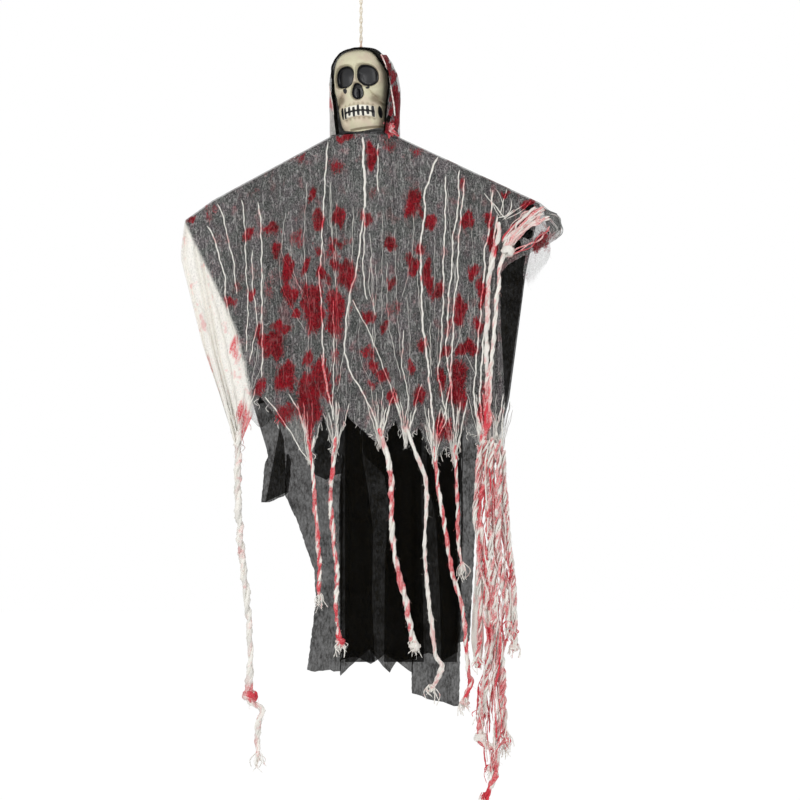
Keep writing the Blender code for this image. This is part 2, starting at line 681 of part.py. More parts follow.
def folded_cloth(cloth, places, neck, line_skin, front_rows, back_rows):
    """Join crest, front and back; the crest row is shared except where the neck's slit is."""
    first, last = neck
    crest = [None if first < index < last else cloth.add(*place) for index, place in enumerate(places)]
    for rows, front in ((front_rows, True), (back_rows, False)):
        narrow = crest_rows(cloth, places, neck, line_skin, front)
        for column in range(len(places) - 1):
            face = [crest[column], narrow[column], narrow[column + 1], crest[column + 1]]
            face = [corner for corner in face if corner is not None]
            if len(face) < 3 or (first <= column < last and len(face) == 3 and last - first < 2):
                continue
            cloth.faces.append(tuple(face) if front else tuple(reversed(face)))
        cloth.skin(narrow, rows[0], front)
        for upper, lower in zip(rows, rows[1:]):
            cloth.skin(upper, lower, front)


ROBE_COUNTS = [2, 5, 3, 6]
ROBE_NECK = (7, 10)
ROBE_FALLS = [0.04, 0.12, 0.22, 0.33, 0.44, 0.56, 0.68, 0.79, 0.9, 1]
ROBE_BACK_FALLS = [0.04, 0.15, 0.33, 0.55, 0.78, 1]


def robe_ends(strips, cut_z):
    """Where each column of the robe meets the level of the cuts."""
    ends = []
    for index, strip in enumerate(strips):
        left = ROBE_CUTS[index] * MM
        right = ROBE_CUTS[index + 1] * MM
        faces = len(strip) - 1
        for step in range(faces):
            ends.append((left + (right - left) * step / faces, cut_z))
    ends.append((ROBE_CUTS[-1] * MM, cut_z))
    return ends


def cut_strips(cloth, row, strips, cut_z, front):
    """Each strip hangs on from the row of the cuts to its own ragged bottom."""
    side = -1 if front else 1
    start = 0
    for number, strip in enumerate(strips):
        upper = row[start:start + len(strip)]
        tops = [cloth.points[corner].x for corner in upper]
        rows = STRIP_ROWS[number]
        for step in range(1, rows + 1):
            share = step / rows
            lower = []
            for column, (bottom_x, drop) in enumerate(strip):
                bow = STRIP_BOW[number] * MM * math.sin(math.pi * share) * (1 - column / (len(strip) - 1))
                x = tops[column] + (bottom_x * MM - tops[column]) * share + bow
                z = cut_z - drop * MM * share
                wave = ROBE_FOLD * math.sin(2.1 * column + 1.3 * number) * smooth_step(share * 2)
                lower.append(cloth.add(x, side * (body_depth(x, z, ROBE_SKIN) + wave), z))
            cloth.skin(upper, lower, front)
            upper = lower
        start += len(strip) - 1


def black_robe(finish):
    cloth = Cloth()
    cut_z = NECK_Z - ROBE_LENGTH
    places = shoulder_columns(ROBE_LINE, ROBE_COUNTS)
    swings = (ROBE_LEFT_SWING, ROBE_RIGHT_SWING)

    def no_fold(index):
        return 0

    front_ends = robe_ends(FRONT_STRIPS, cut_z)
    back_ends = robe_ends(BACK_STRIPS, cut_z)
    front = fall_rows(cloth, places, front_ends, ROBE_FALLS, swings, ROBE_SKIN, no_fold, True)
    back = fall_rows(cloth, places, back_ends, ROBE_BACK_FALLS, swings, ROBE_SKIN, no_fold, False)
    folded_cloth(cloth, places, ROBE_NECK, 0, front, back)
    cut_strips(cloth, front[-1], FRONT_STRIPS, cut_z, True)
    cut_strips(cloth, back[-1], BACK_STRIPS, cut_z, False)
    made = mesh_object("black_robe", cloth.points, cloth.faces, finish)
    thicken(made, ROBE_THICKNESS)
    return made


TAIL_COLUMNS = 3
GAUZE_COUNTS = [3, 9, 4, 10, 2, 2]
GAUZE_NECK = (12, 16)
GAUZE_FALLS = [0.05, 0.12, 0.2, 0.3, 0.4, 0.5, 0.61, 0.72, 0.82, 0.91, 1]
GAUZE_BACK_FALLS = [0.05, 0.18, 0.38, 0.6, 0.8, 1]
TAIL_STEP = 34 * MM


def gauze_hem(hem_z):
    """The hem's corners: arch tops, and two points over each gather."""
    ends = []
    for (arch_x, arch_rise), tail in zip(ARCHES, TAILS):
        (gather_x, gather_rise), flat = tail[:2]
        z = hem_z + gather_rise * MM + GATHER_RISE
        ends.append((arch_x * MM, hem_z + arch_rise * MM))
        ends.append(((gather_x - flat * 0.3) * MM, z))
        ends.append(((gather_x + flat * 0.3) * MM, z))
    ends.append((ARCHES[-1][0] * MM, hem_z + ARCHES[-1][1] * MM))
    return ends


def gauze_tail(cloth, upper, tail, hem_z):
    """One tail: the hem drawn together, then a strip that rolls up and twists on its way down."""
    (gather_x, gather_rise), flat, radius, ahead, fall = tail
    top = Vector((gather_x * MM, 0, hem_z + gather_rise * MM))
    front = body_depth(top.x, top.z, GAUZE_SKIN) + 2 * MM
    knots = [(0, 0, 1)] + fall
    down = [(step[1] * MM, step[2]) for step in knots]
    stops = [(top.x + across * MM, 0, top.z - drop * MM) for across, drop, _ in knots]
    middle = smooth_path(stops, TAIL_STEP)
    for number, place in enumerate(middle):
        fallen = top.z - place.z
        roll = smooth_step(fallen / (40 * MM))
        plane = front + (TAIL_FRONT + ahead * MM - front) * roll
        size = radius * MM * along(down, fallen)
        twist = 1.1 * fallen / (100 * MM) * roll
        before = middle[max(number - 1, 0)]
        after = middle[min(number + 1, len(middle) - 1)]
        run = (after - before).normalized()
        across = Vector((-run.z, 0, run.x))
        lower = []
        for column in range(TAIL_COLUMNS + 1):
            share = column / TAIL_COLUMNS - 0.5
            angle = share * math.radians(270) + twist
            lie = across * share * flat * MM
            curl = across * math.sin(angle) * size - Vector((0, math.cos(angle) * size, 0))
            place_now = place + lie.lerp(curl, roll)
            lower.append(cloth.add(place_now.x, place_now.y - plane, place_now.z))
        cloth.skin(upper, lower, True)
        upper = lower


def gauze_drape(finish):
    cloth = Cloth()
    hem_z = NECK_Z - GAUZE_LENGTH
    places = shoulder_columns(SHOULDER, GAUZE_COUNTS)
    ends = gauze_hem(hem_z)
    left = ARCHES[0][0] * MM
    right = ARCHES[-1][0] * MM
    count = len(places) - 1
    back_ends = [(left + (right - left) * index / count, hem_z + BACK_HEM_RISE * math.sin(index * math.pi / 3) ** 2)
                 for index in range(count + 1)]

    def gathered(index):
        return GAUZE_FOLD * (0.75 + 0.25 * math.sin(1.7 * index)) if index % TAIL_COLUMNS else 0

    swings = (GAUZE_LEFT_SWING, GAUZE_RIGHT_SWING)
    front = fall_rows(cloth, places, ends, GAUZE_FALLS, swings, GAUZE_SKIN, gathered, True)
    back = fall_rows(cloth, places, back_ends, GAUZE_BACK_FALLS, swings, GAUZE_SKIN, gathered, False)
    folded_cloth(cloth, places, GAUZE_NECK, GAUZE_THICKNESS + GAUZE_GAP, front, back)
    for number, tail in enumerate(TAILS):
        start = number * TAIL_COLUMNS
        gauze_tail(cloth, front[-1][start:start + TAIL_COLUMNS + 1], tail, hem_z)
    made = mesh_object("gauze_drape", cloth.points, cloth.faces, finish)
    thicken(made, GAUZE_THICKNESS)
    return made


def build():
    remove_scene_objects()
    bone = material("bone_plastic", (0.58, 0.54, 0.38), 0.42)
    black = material("black_nonwoven", (0.006, 0.006, 0.007), 0.9)
    gauze = material("stained_gauze", (0.55, 0.5, 0.47), 0.92)
    string = material("ivory_string", (0.72, 0.66, 0.52), 0.85)
    foam = material("grey_foam", (0.3, 0.3, 0.3), 0.95)
    steel = material("steel_wire", (0.35, 0.34, 0.33), 0.45, 1.0)
    wire_object("hanging_string", string_path(), STRING_DIAMETER, string, 2)
    string_knot(string)
    skull_shell("skull_front", SKULL_LEVELS, face_columns(), False, bone)
    skull_shell("skull_back", BACK_LEVELS, BACK_COLUMNS, True, bone)
    neck_plug(foam)
    shoulder_wire(steel)
    hood_layer("hood_lining", 0, LINING_THICKNESS, [], LINING_CLOSE, black)
    hood_layer("hood_gauze", HOOD_LAYER_GAP + HOOD_GAUZE_THICKNESS, HOOD_GAUZE_THICKNESS, GAUZE_STARTS,
               GAUZE_CLOSE, gauze)
    black_robe(black)
    gauze_drape(gauze)


build()
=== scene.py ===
import functools
import math

import bpy
import numpy as np
from mathutils import Matrix, Vector
from mathutils.bvhtree import BVHTree


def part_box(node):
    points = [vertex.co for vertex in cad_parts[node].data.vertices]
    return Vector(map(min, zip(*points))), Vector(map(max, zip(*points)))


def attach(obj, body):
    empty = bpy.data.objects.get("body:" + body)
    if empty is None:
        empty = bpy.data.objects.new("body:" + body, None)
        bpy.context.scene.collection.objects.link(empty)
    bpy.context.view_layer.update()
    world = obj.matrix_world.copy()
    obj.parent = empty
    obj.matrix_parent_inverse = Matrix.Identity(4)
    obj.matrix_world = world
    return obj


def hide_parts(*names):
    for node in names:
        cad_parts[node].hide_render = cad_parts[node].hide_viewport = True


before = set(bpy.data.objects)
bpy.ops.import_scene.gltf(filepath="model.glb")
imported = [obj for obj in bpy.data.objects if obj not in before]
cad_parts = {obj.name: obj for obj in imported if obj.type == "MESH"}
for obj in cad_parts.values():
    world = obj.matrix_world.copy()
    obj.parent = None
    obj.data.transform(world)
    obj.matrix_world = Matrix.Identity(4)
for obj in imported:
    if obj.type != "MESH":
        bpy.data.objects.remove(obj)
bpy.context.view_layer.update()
scene = bpy.context.scene
scene.view_settings.view_transform = "Standard"
MM = 0.001

# The camera stands 3 m in front of the figure, level with its middle.
# The photograph's frame is 800 px wide and takes in 960 mm there.
CAMERA_PLACE = (46.8 * MM, -3.0, -525.6 * MM)
PHOTO_SIDE = 800
PHOTO_REACH = 960 * MM
SENSOR_WIDTH = 36
camera_data = bpy.data.cameras.new("camera")
camera_data.sensor_width = SENSOR_WIDTH
camera_data.lens = SENSOR_WIDTH * -CAMERA_PLACE[1] / PHOTO_REACH
camera = bpy.data.objects.new("camera", camera_data)
camera.location = CAMERA_PLACE
camera.rotation_euler = (math.radians(90), 0, 0)
scene.collection.objects.link(camera)
scene.camera = camera


def seen_places(px, py, y):
    """The places at depths y that the camera sees at pixels of the photograph, as an array."""
    scale = PHOTO_REACH / PHOTO_SIDE * (y - CAMERA_PLACE[1]) / -CAMERA_PLACE[1]
    x = CAMERA_PLACE[0] + (px - PHOTO_SIDE / 2) * scale
    z = CAMERA_PLACE[2] - (py - PHOTO_SIDE / 2) * scale
    return np.stack(np.broadcast_arrays(x, y, z), axis=-1)


def seen_at(px, py, y=0.0):
    return Vector(seen_places(px, py, y))


def pixels_of(points):
    """The photograph's pixels where an array of places is seen."""
    scale = PHOTO_SIDE / PHOTO_REACH * -CAMERA_PLACE[1] / (points[..., 1] - CAMERA_PLACE[1])
    px = PHOTO_SIDE / 2 + (points[..., 0] - CAMERA_PLACE[0]) * scale
    return px, PHOTO_SIDE / 2 - (points[..., 2] - CAMERA_PLACE[2]) * scale


def between(stops, place):
    """Read a list of stops, each a place and a value, along straight lines."""
    return np.interp(place, *zip(*stops))


def edge_at(edge, py):
    """How far right an edge given as pixels stands at a height of the photograph."""
    across, down = zip(*edge)
    return np.interp(py, down, across)


def as_array(path):
    return np.array([tuple(point) for point in path])


def run_lengths(path):
    """How far along the path each of its points is."""
    return np.concatenate([[0], np.cumsum(np.linalg.norm(np.diff(path, axis=0), axis=1))])


def highest(*layers):
    """The highest of several layers at each place."""
    return functools.reduce(np.maximum, layers)


class Dye:
    """A value that varies over a finish; sums and products of it add Math nodes."""

    def __init__(self, finish, socket):
        self.finish = finish
        self.socket = socket

    def worked(self, operation, first, second=None):
        values = {0: first} if second is None else {0: first, 1: second}
        return self.finish.add("ShaderNodeMath", {"operation": operation}, values)

    def __add__(self, other):
        return self.worked("ADD", self, other)

    def __sub__(self, other):
        return self.worked("SUBTRACT", self, other)

    def __rsub__(self, other):
        return self.worked("SUBTRACT", other, self)

    def __mul__(self, other):
        return self.worked("MULTIPLY", self, other)

    def most(self, other):
        return self.worked("MAXIMUM", self, other)

    def least(self, other):
        return self.worked("MINIMUM", self, other)

    def ramped(self, low, high):
        """0 below low, 1 above high, smooth between."""
        settings = {"interpolation_type": "SMOOTHSTEP"}
        values = {"Value": self, "From Min": low, "From Max": high}
        return self.finish.add("ShaderNodeMapRange", settings, values)


class Finish:
    """One material: add() makes a node and hands back its output as a Dye."""

    def __init__(self, name, roughness=0.9, metallic=0.0, gloss=0.5):
        self.material = bpy.data.materials.new(name)
        self.material.use_nodes = True
        self.tree = self.material.node_tree
        self.shader = self.tree.nodes["Principled BSDF"]
        self.shader.inputs["Roughness"].default_value = roughness
        self.shader.inputs["Metallic"].default_value = metallic
        self.shader.inputs["Specular IOR Level"].default_value = gloss

    def plug(self, socket, value):
        if isinstance(value, Dye):
            self.tree.links.new(value.socket, socket)
        elif isinstance(value, (tuple, list)) and len(value) == 3 and socket.type == "RGBA":
            socket.default_value = (*value, 1)
        else:
            socket.default_value = value

    def add(self, kind, settings=None, values=None, output=0):
        node = self.tree.nodes.new(kind)
        for name, value in (settings or {}).items():
            setattr(node, name, value)
        for name, value in (values or {}).items():
            self.plug(node.inputs[name], value)
        return Dye(self, node.outputs[output])

    def place(self, scale=(1, 1, 1)):
        """Coordinates of the piece itself, stretched along each axis."""
        where = self.add("ShaderNodeTexCoord", None, None, "Object")
        return self.add("ShaderNodeMapping", None, {"Vector": where, "Scale": scale})

    def noise(self, where, scale, detail=3.0, rough=0.6):
        values = {"Vector": where, "Scale": scale, "Detail": detail, "Roughness": rough}
        return self.add("ShaderNodeTexNoise", None, values)

    def hairs(self, where, scale, width, detail=2.0):
        """Thin wandering lines: 1 on a line, 0 between them."""
        away = self.noise(where, scale, detail, 0.5) - 0.5
        return 1.0 - away.worked("ABSOLUTE", away).ramped(0.0, width)

    def attribute(self, name):
        return self.add("ShaderNodeAttribute", {"attribute_name": name}, None, "Fac")

    def blend(self, share, first, second):
        """A colour between two, by a share of the second."""
        node = self.tree.nodes.new("ShaderNodeMix")
        node.data_type = "RGBA"
        self.plug(node.inputs[0], share)
        self.plug(node.inputs[6], first)
        self.plug(node.inputs[7], second)
        return Dye(self, node.outputs[2])

    def feed(self, **sockets):
        for name, value in sockets.items():
            self.plug(self.shader.inputs[name.replace("_", " ")], value)

    def bump(self, height, depth, distance=MM):
        values = {"Height": height, "Strength": depth, "Distance": distance}
        self.plug(self.shader.inputs["Normal"], self.add("ShaderNodeBump", None, values))


def soft_lamp(name, place, size, power):
    lamp_data = bpy.data.lights.new(name, "AREA")
    lamp_data.size = size
    lamp_data.energy = power
    lamp = bpy.data.objects.new(name, lamp_data)
    lamp.location = place
    aim = Vector((0.0, 0.0, -0.5)) - Vector(place)
    lamp.rotation_euler = aim.to_track_quat("-Z", "Y").to_euler()
    scene.collection.objects.link(lamp)


soft_lamp("key_lamp", (-1.4, -2.4, 0.7), 1.4, 34)
soft_lamp("fill_lamp", (1.8, -2.2, -0.1), 1.6, 15)
soft_lamp("back_lamp", (0.6, 2.6, 0.5), 1.6, 22)

# The world lights the figure at a lower strength than it is seen with, so the background stays white.
WORLD_LIGHT = 0.57
world = bpy.data.worlds.new("studio")
world.use_nodes = True
scene.world = world
sky = world.node_tree
rays = sky.nodes.new("ShaderNodeLightPath").outputs
shown = rays["Is Camera Ray"]
for kind in ("Is Glossy Ray", "Is Transmission Ray"):
    either = sky.nodes.new("ShaderNodeMath")
    either.operation = "MAXIMUM"
    sky.links.new(shown, either.inputs[0])
    sky.links.new(rays[kind], either.inputs[1])
    shown = either.outputs[0]
level = sky.nodes.new("ShaderNodeMapRange")
level.inputs["To Min"].default_value = WORLD_LIGHT
level.inputs["To Max"].default_value = 1.0
sky.links.new(shown, level.inputs["Value"])
sky.links.new(level.outputs[0], sky.nodes["Background"].inputs["Strength"])
sky.nodes["Background"].inputs["Color"].default_value = (1, 1, 1, 1)

# The floor lies well under the hanging figure, as under a ceiling hook.
# It is pale and shows white, with the figure's shadow in it.
FLOOR_DROP = 1.8
FLOOR_HALF = 12
floor_mesh = bpy.data.meshes.new("floor")
corners = [(x * FLOOR_HALF, y * FLOOR_HALF, -FLOOR_DROP) for x, y in ((-1, -1), (1, -1), (1, 1), (-1, 1))]
floor_mesh.from_pydata(corners, [], [(0, 1, 2, 3)])
floor = bpy.data.objects.new("floor", floor_mesh)
scene.collection.objects.link(floor)
pale = Finish("pale_floor", 0.9)
pale.feed(Base_Color=(0.9, 0.9, 0.9))
ray = pale.add("ShaderNodeLightPath", None, None, "Is Camera Ray")
glow = pale.add("ShaderNodeEmission", None, {"Color": (1, 1, 1), "Strength": 1.17})
shares = pale.add("ShaderNodeMixShader", None, {0: ray * 0.75, 1: Dye(pale, pale.shader.outputs[0]), 2: glow})
pale.tree.links.new(shares.socket, pale.tree.nodes["Material Output"].inputs["Surface"])
floor_mesh.materials.append(pale.material)


# The string is one thin ivory cord, doubled and loosely twisted, its top left as a loop.
# It comes up through the crown of the skull and the hood, from a knot inside the skull.
STRING_DIAMETER = 1.6 * MM
STRING_DROP = 104.0 * MM
LOOP_WIDTH = 10.0 * MM
LOOP_HEIGHT = 23.0 * MM
TWIST_RADIUS = 1.2 * MM
TWIST_PITCH = 23.0 * MM
SKULL_WALL = 1.6 * MM
CLEARANCE = 0.3 * MM


def smooth_path(points, step):
    """Points about one step apart on a smooth curve through the given points."""
    points = [Vector(point) for point in points]
    ends = [points[0] * 2 - points[1]] + points + [points[-1] * 2 - points[-2]]
    path = []
    for a, b, c, d in zip(ends, ends[1:], ends[2:], ends[3:]):
        count = max(1, round((c - b).length / step))
        for index in range(count):
            t = index / count
            bend = (a * -1 + b * 3 - c * 3 + d) * t ** 3
            ease = (a * 2 - b * 5 + c * 4 - d) * t ** 2
            path.append((b * 2 + (c - a) * t + ease + bend) * 0.5)
    path.append(points[-1])
    return path


def string_path(step):
    base = -STRING_DIAMETER / 2 - LOOP_HEIGHT
    end = -STRING_DROP - SKULL_WALL - CLEARANCE
    turns = (base - end) / TWIST_PITCH
    count = round((base - end) / step)
    strand = []
    for index in range(count + 1):
        angle = 2 * math.pi * turns * index / count
        z = base + (end - base) * index / count
        strand.append(Vector((-TWIST_RADIUS * math.cos(angle), -TWIST_RADIUS * math.sin(angle), z)))
    half = LOOP_WIDTH / 2
    shape = [(0.36, 0.22), (0.78, 0.48), (1, 0.71), (0.72, 0.92)]
    side = [Vector((-half * wide, 0, base + LOOP_HEIGHT * high)) for wide, high in shape]
    rising = [strand[0]] + side + [Vector((0, 0, -STRING_DIAMETER / 2))]
    falling = [Vector((-point.x, point.y, point.z)) for point in reversed(rising[:-1])]
    loop = smooth_path(rising + falling, step)
    other = [Vector((-point.x, -point.y, point.z)) for point in strand]
    return list(reversed(strand))[:-1] + loop + other[1:]


class Sewing:
    """Points, faces, flat coordinates and stains of a piece, gathered before its mesh is made."""

    def __init__(self):
        self.points = []
        self.faces = []
        self.flat = []
        self.marks = {}
        self.count = 0

    def lay(self, points, flat, marks=None, keep=None, closed=False, turned=False):
        """Add a grid of points, rows by columns; keep says which of its faces stay."""
        rows, columns = points.shape[:2]
        index = np.arange(rows * columns).reshape(rows, columns) + self.count
        if closed:
            index = np.concatenate([index, index[:, :1]], axis=1)
        quads = np.stack([index[:-1, :-1], index[1:, :-1], index[1:, 1:], index[:-1, 1:]], axis=-1)
        if turned:
            quads = quads[..., ::-1]
        if keep is not None:
            quads = quads[keep]
        self.faces.append(quads.reshape(-1, 4))
        self.points.append(points.reshape(-1, 3))
        self.flat.append(flat.reshape(-1, 2))
        for name in set(self.marks) | set(marks or {}):
            earlier = self.marks.setdefault(name, [np.zeros(self.count)])
            fresh = (marks or {}).get(name, 0.0)
            earlier.append(np.broadcast_to(fresh, (rows, columns)).ravel())
        self.count += rows * columns

    def make(self, name, finish):
        mesh = bpy.data.meshes.new(name)
        points = np.concatenate(self.points)
        faces = np.concatenate(self.faces)
        mesh.from_pydata(points.tolist(), [], faces.tolist())
        layer = mesh.uv_layers.new(name="flat")
        corners = np.zeros(len(mesh.loops), dtype=np.int32)
        mesh.loops.foreach_get("vertex_index", corners)
        layer.data.foreach_set("uv", np.concatenate(self.flat)[corners].ravel().astype(np.float32))
        for mark, values in self.marks.items():
            shade = mesh.attributes.new(mark, "FLOAT", "POINT")
            shade.data.foreach_set("value", np.concatenate(values).astype(np.float32))
        mesh.materials.append(finish.material)
        mesh.shade_smooth()
        made = bpy.data.objects.new(name, mesh)
        scene.collection.objects.link(made)
        return made


def carried_frames(path):
    """Side and front directions along a path, carried on from point to point without turning."""
    runs = np.gradient(path, axis=0)
    runs /= np.linalg.norm(runs, axis=1)[:, None] + 1e-12
    side = np.cross(runs[0], (0.3, 1.0, 0.1))
    sides = []
    for run in runs:
        side = side - run * side.dot(run)
        side = side / (np.linalg.norm(side) + 1e-12)
        sides.append(side)
    sides = np.array(sides)
    return sides, np.cross(runs, sides)


# Kinds of yarn: how many plies, the length of one turn, the depth of the grooves, sides and roughness.
YARNS = {
    "string": (2, 3.4 * MM, 0.22, 12, 0.04), "knot": (2, 3.4 * MM, 0.22, 10, 0.03),
    "rolled_hem": (1, 9 * MM, 0.06, 8, 0.06), "drawn": (2, 6 * MM, 0.22, 8, 0.12),
    "tucked": (2, 8 * MM, 0.25, 8, 0.12), "strand": (3, 16 * MM, 0.24, 10, 0.07),
    "wound": (3, 14 * MM, 0.22, 12, 0.08), "brush": (2, 5 * MM, 0.2, 6, 0.1),
    "loose": (2, 8 * MM, 0.24, 6, 0.12), "long": (2, 7 * MM, 0.22, 8, 0.12),
    "fine": (2, 6 * MM, 0.2, 5, 0.16), "hem": (2, 6 * MM, 0.2, 5, 0.14), "fringe": (2, 5 * MM, 0.2, 5, 0.12),
    "bunch": (3, 13 * MM, 0.25, 10, 0.12), "arm_fold": (3, 15 * MM, 0.25, 8, 0.12),
    "fan": (2, 6 * MM, 0.2, 6, 0.14),
}


def yarn(sewing, path, radius, kind, seed=0, marks=None):
    """A twisted yarn along a path, its plies standing out as a rounded screw."""
    plies, lay, groove, sides, rough = YARNS[kind]
    path = as_array(path)
    draw = np.random.default_rng(seed)
    along = run_lengths(path)
    radius = np.broadcast_to(radius, along.shape)
    angles = np.linspace(0, 2 * math.pi, sides, endpoint=False)
    across, ahead = carried_frames(path)
    turn = angles[None, :] * plies - 2 * math.pi * along[:, None] / lay
    swell = 1 - groove + 2 * groove * np.abs(np.cos(turn / 2))
    uneven = 1 + rough * draw.standard_normal((len(path), 1))
    uneven = uneven + rough * 0.7 * draw.standard_normal((len(path), sides))
    size = radius[:, None] * swell * uneven
    size[[0, -1]] *= 0.35
    around = across[:, None, :] * np.cos(angles)[None, :, None]
    around = around + ahead[:, None, :] * np.sin(angles)[None, :, None]
    points = path[:, None, :] + around * size[..., None]
    flat = np.stack(np.broadcast_arrays(angles[None, :] / 10, along[:, None]), axis=-1)
    tip = np.repeat(path[:1, None, :], sides, axis=1)
    end = np.repeat(path[-1:, None, :], sides, axis=1)
    points = np.concatenate([tip, points, end])
    flat = np.concatenate([flat[:1], flat, flat[-1:]])
    spread = {}
    for name, value in (marks or {}).items():
        value = np.broadcast_to(value, along.shape)
        spread[name] = np.concatenate([value[:1], value, value[-1:]])[:, None]
    sewing.lay(points, flat, spread, closed=True)


ivory = Finish("ivory_string", 0.85)
fibres = ivory.noise(ivory.place(), 900, 4.0, 0.7)
height = ivory.add("ShaderNodeSeparateXYZ", None, {"Vector": ivory.place()}, 2)
tinted = (1.0 - height.ramped(-STRING_DROP, -0.09)) * 0.45
twine = ivory.blend(fibres.ramped(0.3, 0.75), (0.72, 0.64, 0.50), (0.93, 0.87, 0.74))
ivory.feed(Base_Color=ivory.blend(tinted, twine, (0.75, 0.30, 0.20)))
ivory.bump(fibres, 0.5, 0.4 * MM)
string_route = string_path(0.7 * MM)
string_sewing = Sewing()
yarn(string_sewing, string_route, STRING_DIAMETER / 2, "string", 3)
hanging_string = string_sewing.make("hanging_string_yarn", ivory)

# The knot is a few turns of the same string, drawn tight inside the skull.
# It holds up the skull, and with it the whole figure.
low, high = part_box("string_knot")
knot_middle = (Vector(low) + Vector(high)) / 2
knot_radius = (high[0] - low[0]) / 2 - STRING_DIAMETER / 2
knot_height = (high[2] - low[2]) / 2 - STRING_DIAMETER / 2
KNOT_TURNS = 5
knot_route = []
for share in np.linspace(0, 1, 240):
    lift = math.sin(math.pi * (share - 0.5))
    angle = 2 * math.pi * KNOT_TURNS * share
    wide = knot_radius * (0.55 + 0.45 * math.cos(lift * 1.2)) * (1 - 0.08 * math.cos(3 * angle / 2))
    off = (wide * math.cos(angle), wide * math.sin(angle), knot_height * lift)
    knot_route.append(knot_middle + Vector(off))
knot_sewing = Sewing()
yarn(knot_sewing, knot_route, STRING_DIAMETER / 2, "knot", 4)
string_knot = knot_sewing.make("string_knot_turns", ivory)
for piece, node in ((hanging_string, "hanging_string"), (string_knot, "string_knot")):
    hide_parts(node)
    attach(piece, "root")
string_length = sum((b - a).length for a, b in zip(string_route, string_route[1:]))
tuple(string_route[0])
[tuple(point) for point in string_route]


# The skull is a thin moulded plastic face, bone coloured with a brown wash in its hollows, and with painted
# shade under its cheekbones and on its sides.
# Sockets, nose, tooth gaps and jaw slots are painted black, and its back half sits under the hood.
SKULL_HEIGHT = 102.0 * MM
SKULL_WIDTH = 68.0 * MM
FACE_DEPTH = 37.0 * MM
CROWN_HOLE_RADIUS = 3.2 * MM
JAW_CORNER_RISE = 4.0 * MM
HEAD_YAW = math.radians(-15)
HEAD_ROLL = math.radians(-3.5)
CROWN_Z = -STRING_DROP
HEAD = (Matrix.Translation((0, 0, CROWN_Z)) @ Matrix.Rotation(HEAD_ROLL, 4, "Y")
        @ Matrix.Rotation(HEAD_YAW, 4, "Z") @ Matrix.Translation((0, 0, -SKULL_HEIGHT)))
HALF_WIDTH = [(0, 0.64), (0.08, 0.78), (0.18, 0.83), (0.26, 0.86), (0.4, 0.92), (0.52, 0.97),
              (0.66, 0.98), (0.77, 0.94), (0.86, 0.82), (0.92, 0.69), (0.97, 0.45), (1, 0)]
FRONT_DEPTH = [(0, 0.82), (0.08, 0.92), (0.18, 0.95), (0.26, 0.97), (0.4, 0.94), (0.52, 0.95),
               (0.66, 0.95), (0.77, 1), (0.86, 0.93), (0.92, 0.77), (0.97, 0.48), (1, 0)]
FACE_SQUARENESS = 2.6
FACE_ROWS = 260
FACE_COLUMNS = 200
TOOTH_PITCH = 5.6 * MM
BITE_LEVEL = 24.2 * MM
# Each swelling or hollow of the face: how far it stands out in mm, whether it is on both sides, and its oval.
# An oval is its centre, width and height in mm, and how soft its edge is.
FACE_SWELLS = [
    (2.6, False, 0.9, 61, 10, 14, 1.0), (1.4, True, 12, 82, 26, 8, 1.1), (-1.0, False, 0, 79, 9, 12, 1.2),
    (3.0, True, 23, 50, 17, 12, 1.1), (-1.5, True, 31, 78, 12, 22, 1.2), (1.6, False, 1, 9, 18, 12, 1.1),
    (-1.4, True, 13, 12, 8, 8, 1.2),
]
JAW_SLOTS = [(-19.6, 22.5, 3.8, 14, 0.35), (24.8, 21.5, 3.6, 14, 0.35)]
PAINT_TEARS = [(-13.4, 48.6, 4.8, 6.4, 0.5), (14.8, 50.4, 5.6, 3, 0.5)]
PAINT_DRIPS = [(-12.9, 53.2, 1.6, 6, 0.5), (14.4, 52.6, 2, 4, 0.5)]
# Ovals of painted shade under the cheekbones: centre, width and height in mm, and how soft the edge is.
CHEEK_PAINTED_SHADE = [(-20.5, 38, 12, 10, 1.3), (22, 37.5, 13, 11, 1.3)]


def on_head(points):
    """Places given in the skull's own directions, turned and tilted with it."""
    return points @ np.array(HEAD.to_3x3()).T + np.array(HEAD.translation)


def smooth_step(value):
    value = np.clip(value, 0, 1)
    return value * value * (3 - 2 * value)


def rounded_profile(stops, place):
    """Read a list of stops with its corners rounded off."""
    eased = smooth_step((1 - place) / 0.08)
    shifts = (-0.02, -0.01, 0, 0.01, 0.02)
    return sum(between(stops, np.clip(place + shift * eased, 0, 1)) for shift in shifts) / len(shifts)


def inside(reach, soft):
    """1 inside a shape, falling to 0 over a share of its radius."""
    return smooth_step((1 + soft / 2 - reach) / soft)


def oval(x, z, centre_x, centre_z, width, height, soft):
    """An oval of full width and height, in mm."""
    across = (x - centre_x * MM) / (width * MM / 2)
    return inside(np.hypot(across, (z - centre_z * MM) / (height * MM / 2)), soft)


def ovals(x, z, places):
    return highest(*[oval(x, z, *place) for place in places])


def socket_shape(x, z, soft):
    """An eye socket: rounded, a little squared, drooping outward."""
    side = np.abs(x) - np.where(x > 0, 13.3, 14.0) * MM
    rise = z - 66.2 * MM + side * 0.16
    wide = np.where(side > 0, 12.2 * MM, 11.7 * MM)
    tall = np.where(rise > 0, 11.7 * MM, 13.4 * MM)
    return inside((np.abs(side / wide) ** 2.4 + np.abs(rise / tall) ** 2.4) ** (1 / 2.4), soft)


def nose_shape(x, z, soft):
    """The nose hole: an egg, wide end down."""
    rise = (z - 47.6 * MM) / (9.6 * MM)
    wide = 7.7 * MM * (0.8 + 0.2 * smooth_step((0.7 - rise) / 1.4))
    return inside((np.abs((x - 1.3 * MM) / wide) ** 2.2 + np.abs(rise) ** 2.2) ** (1 / 2.2), soft)


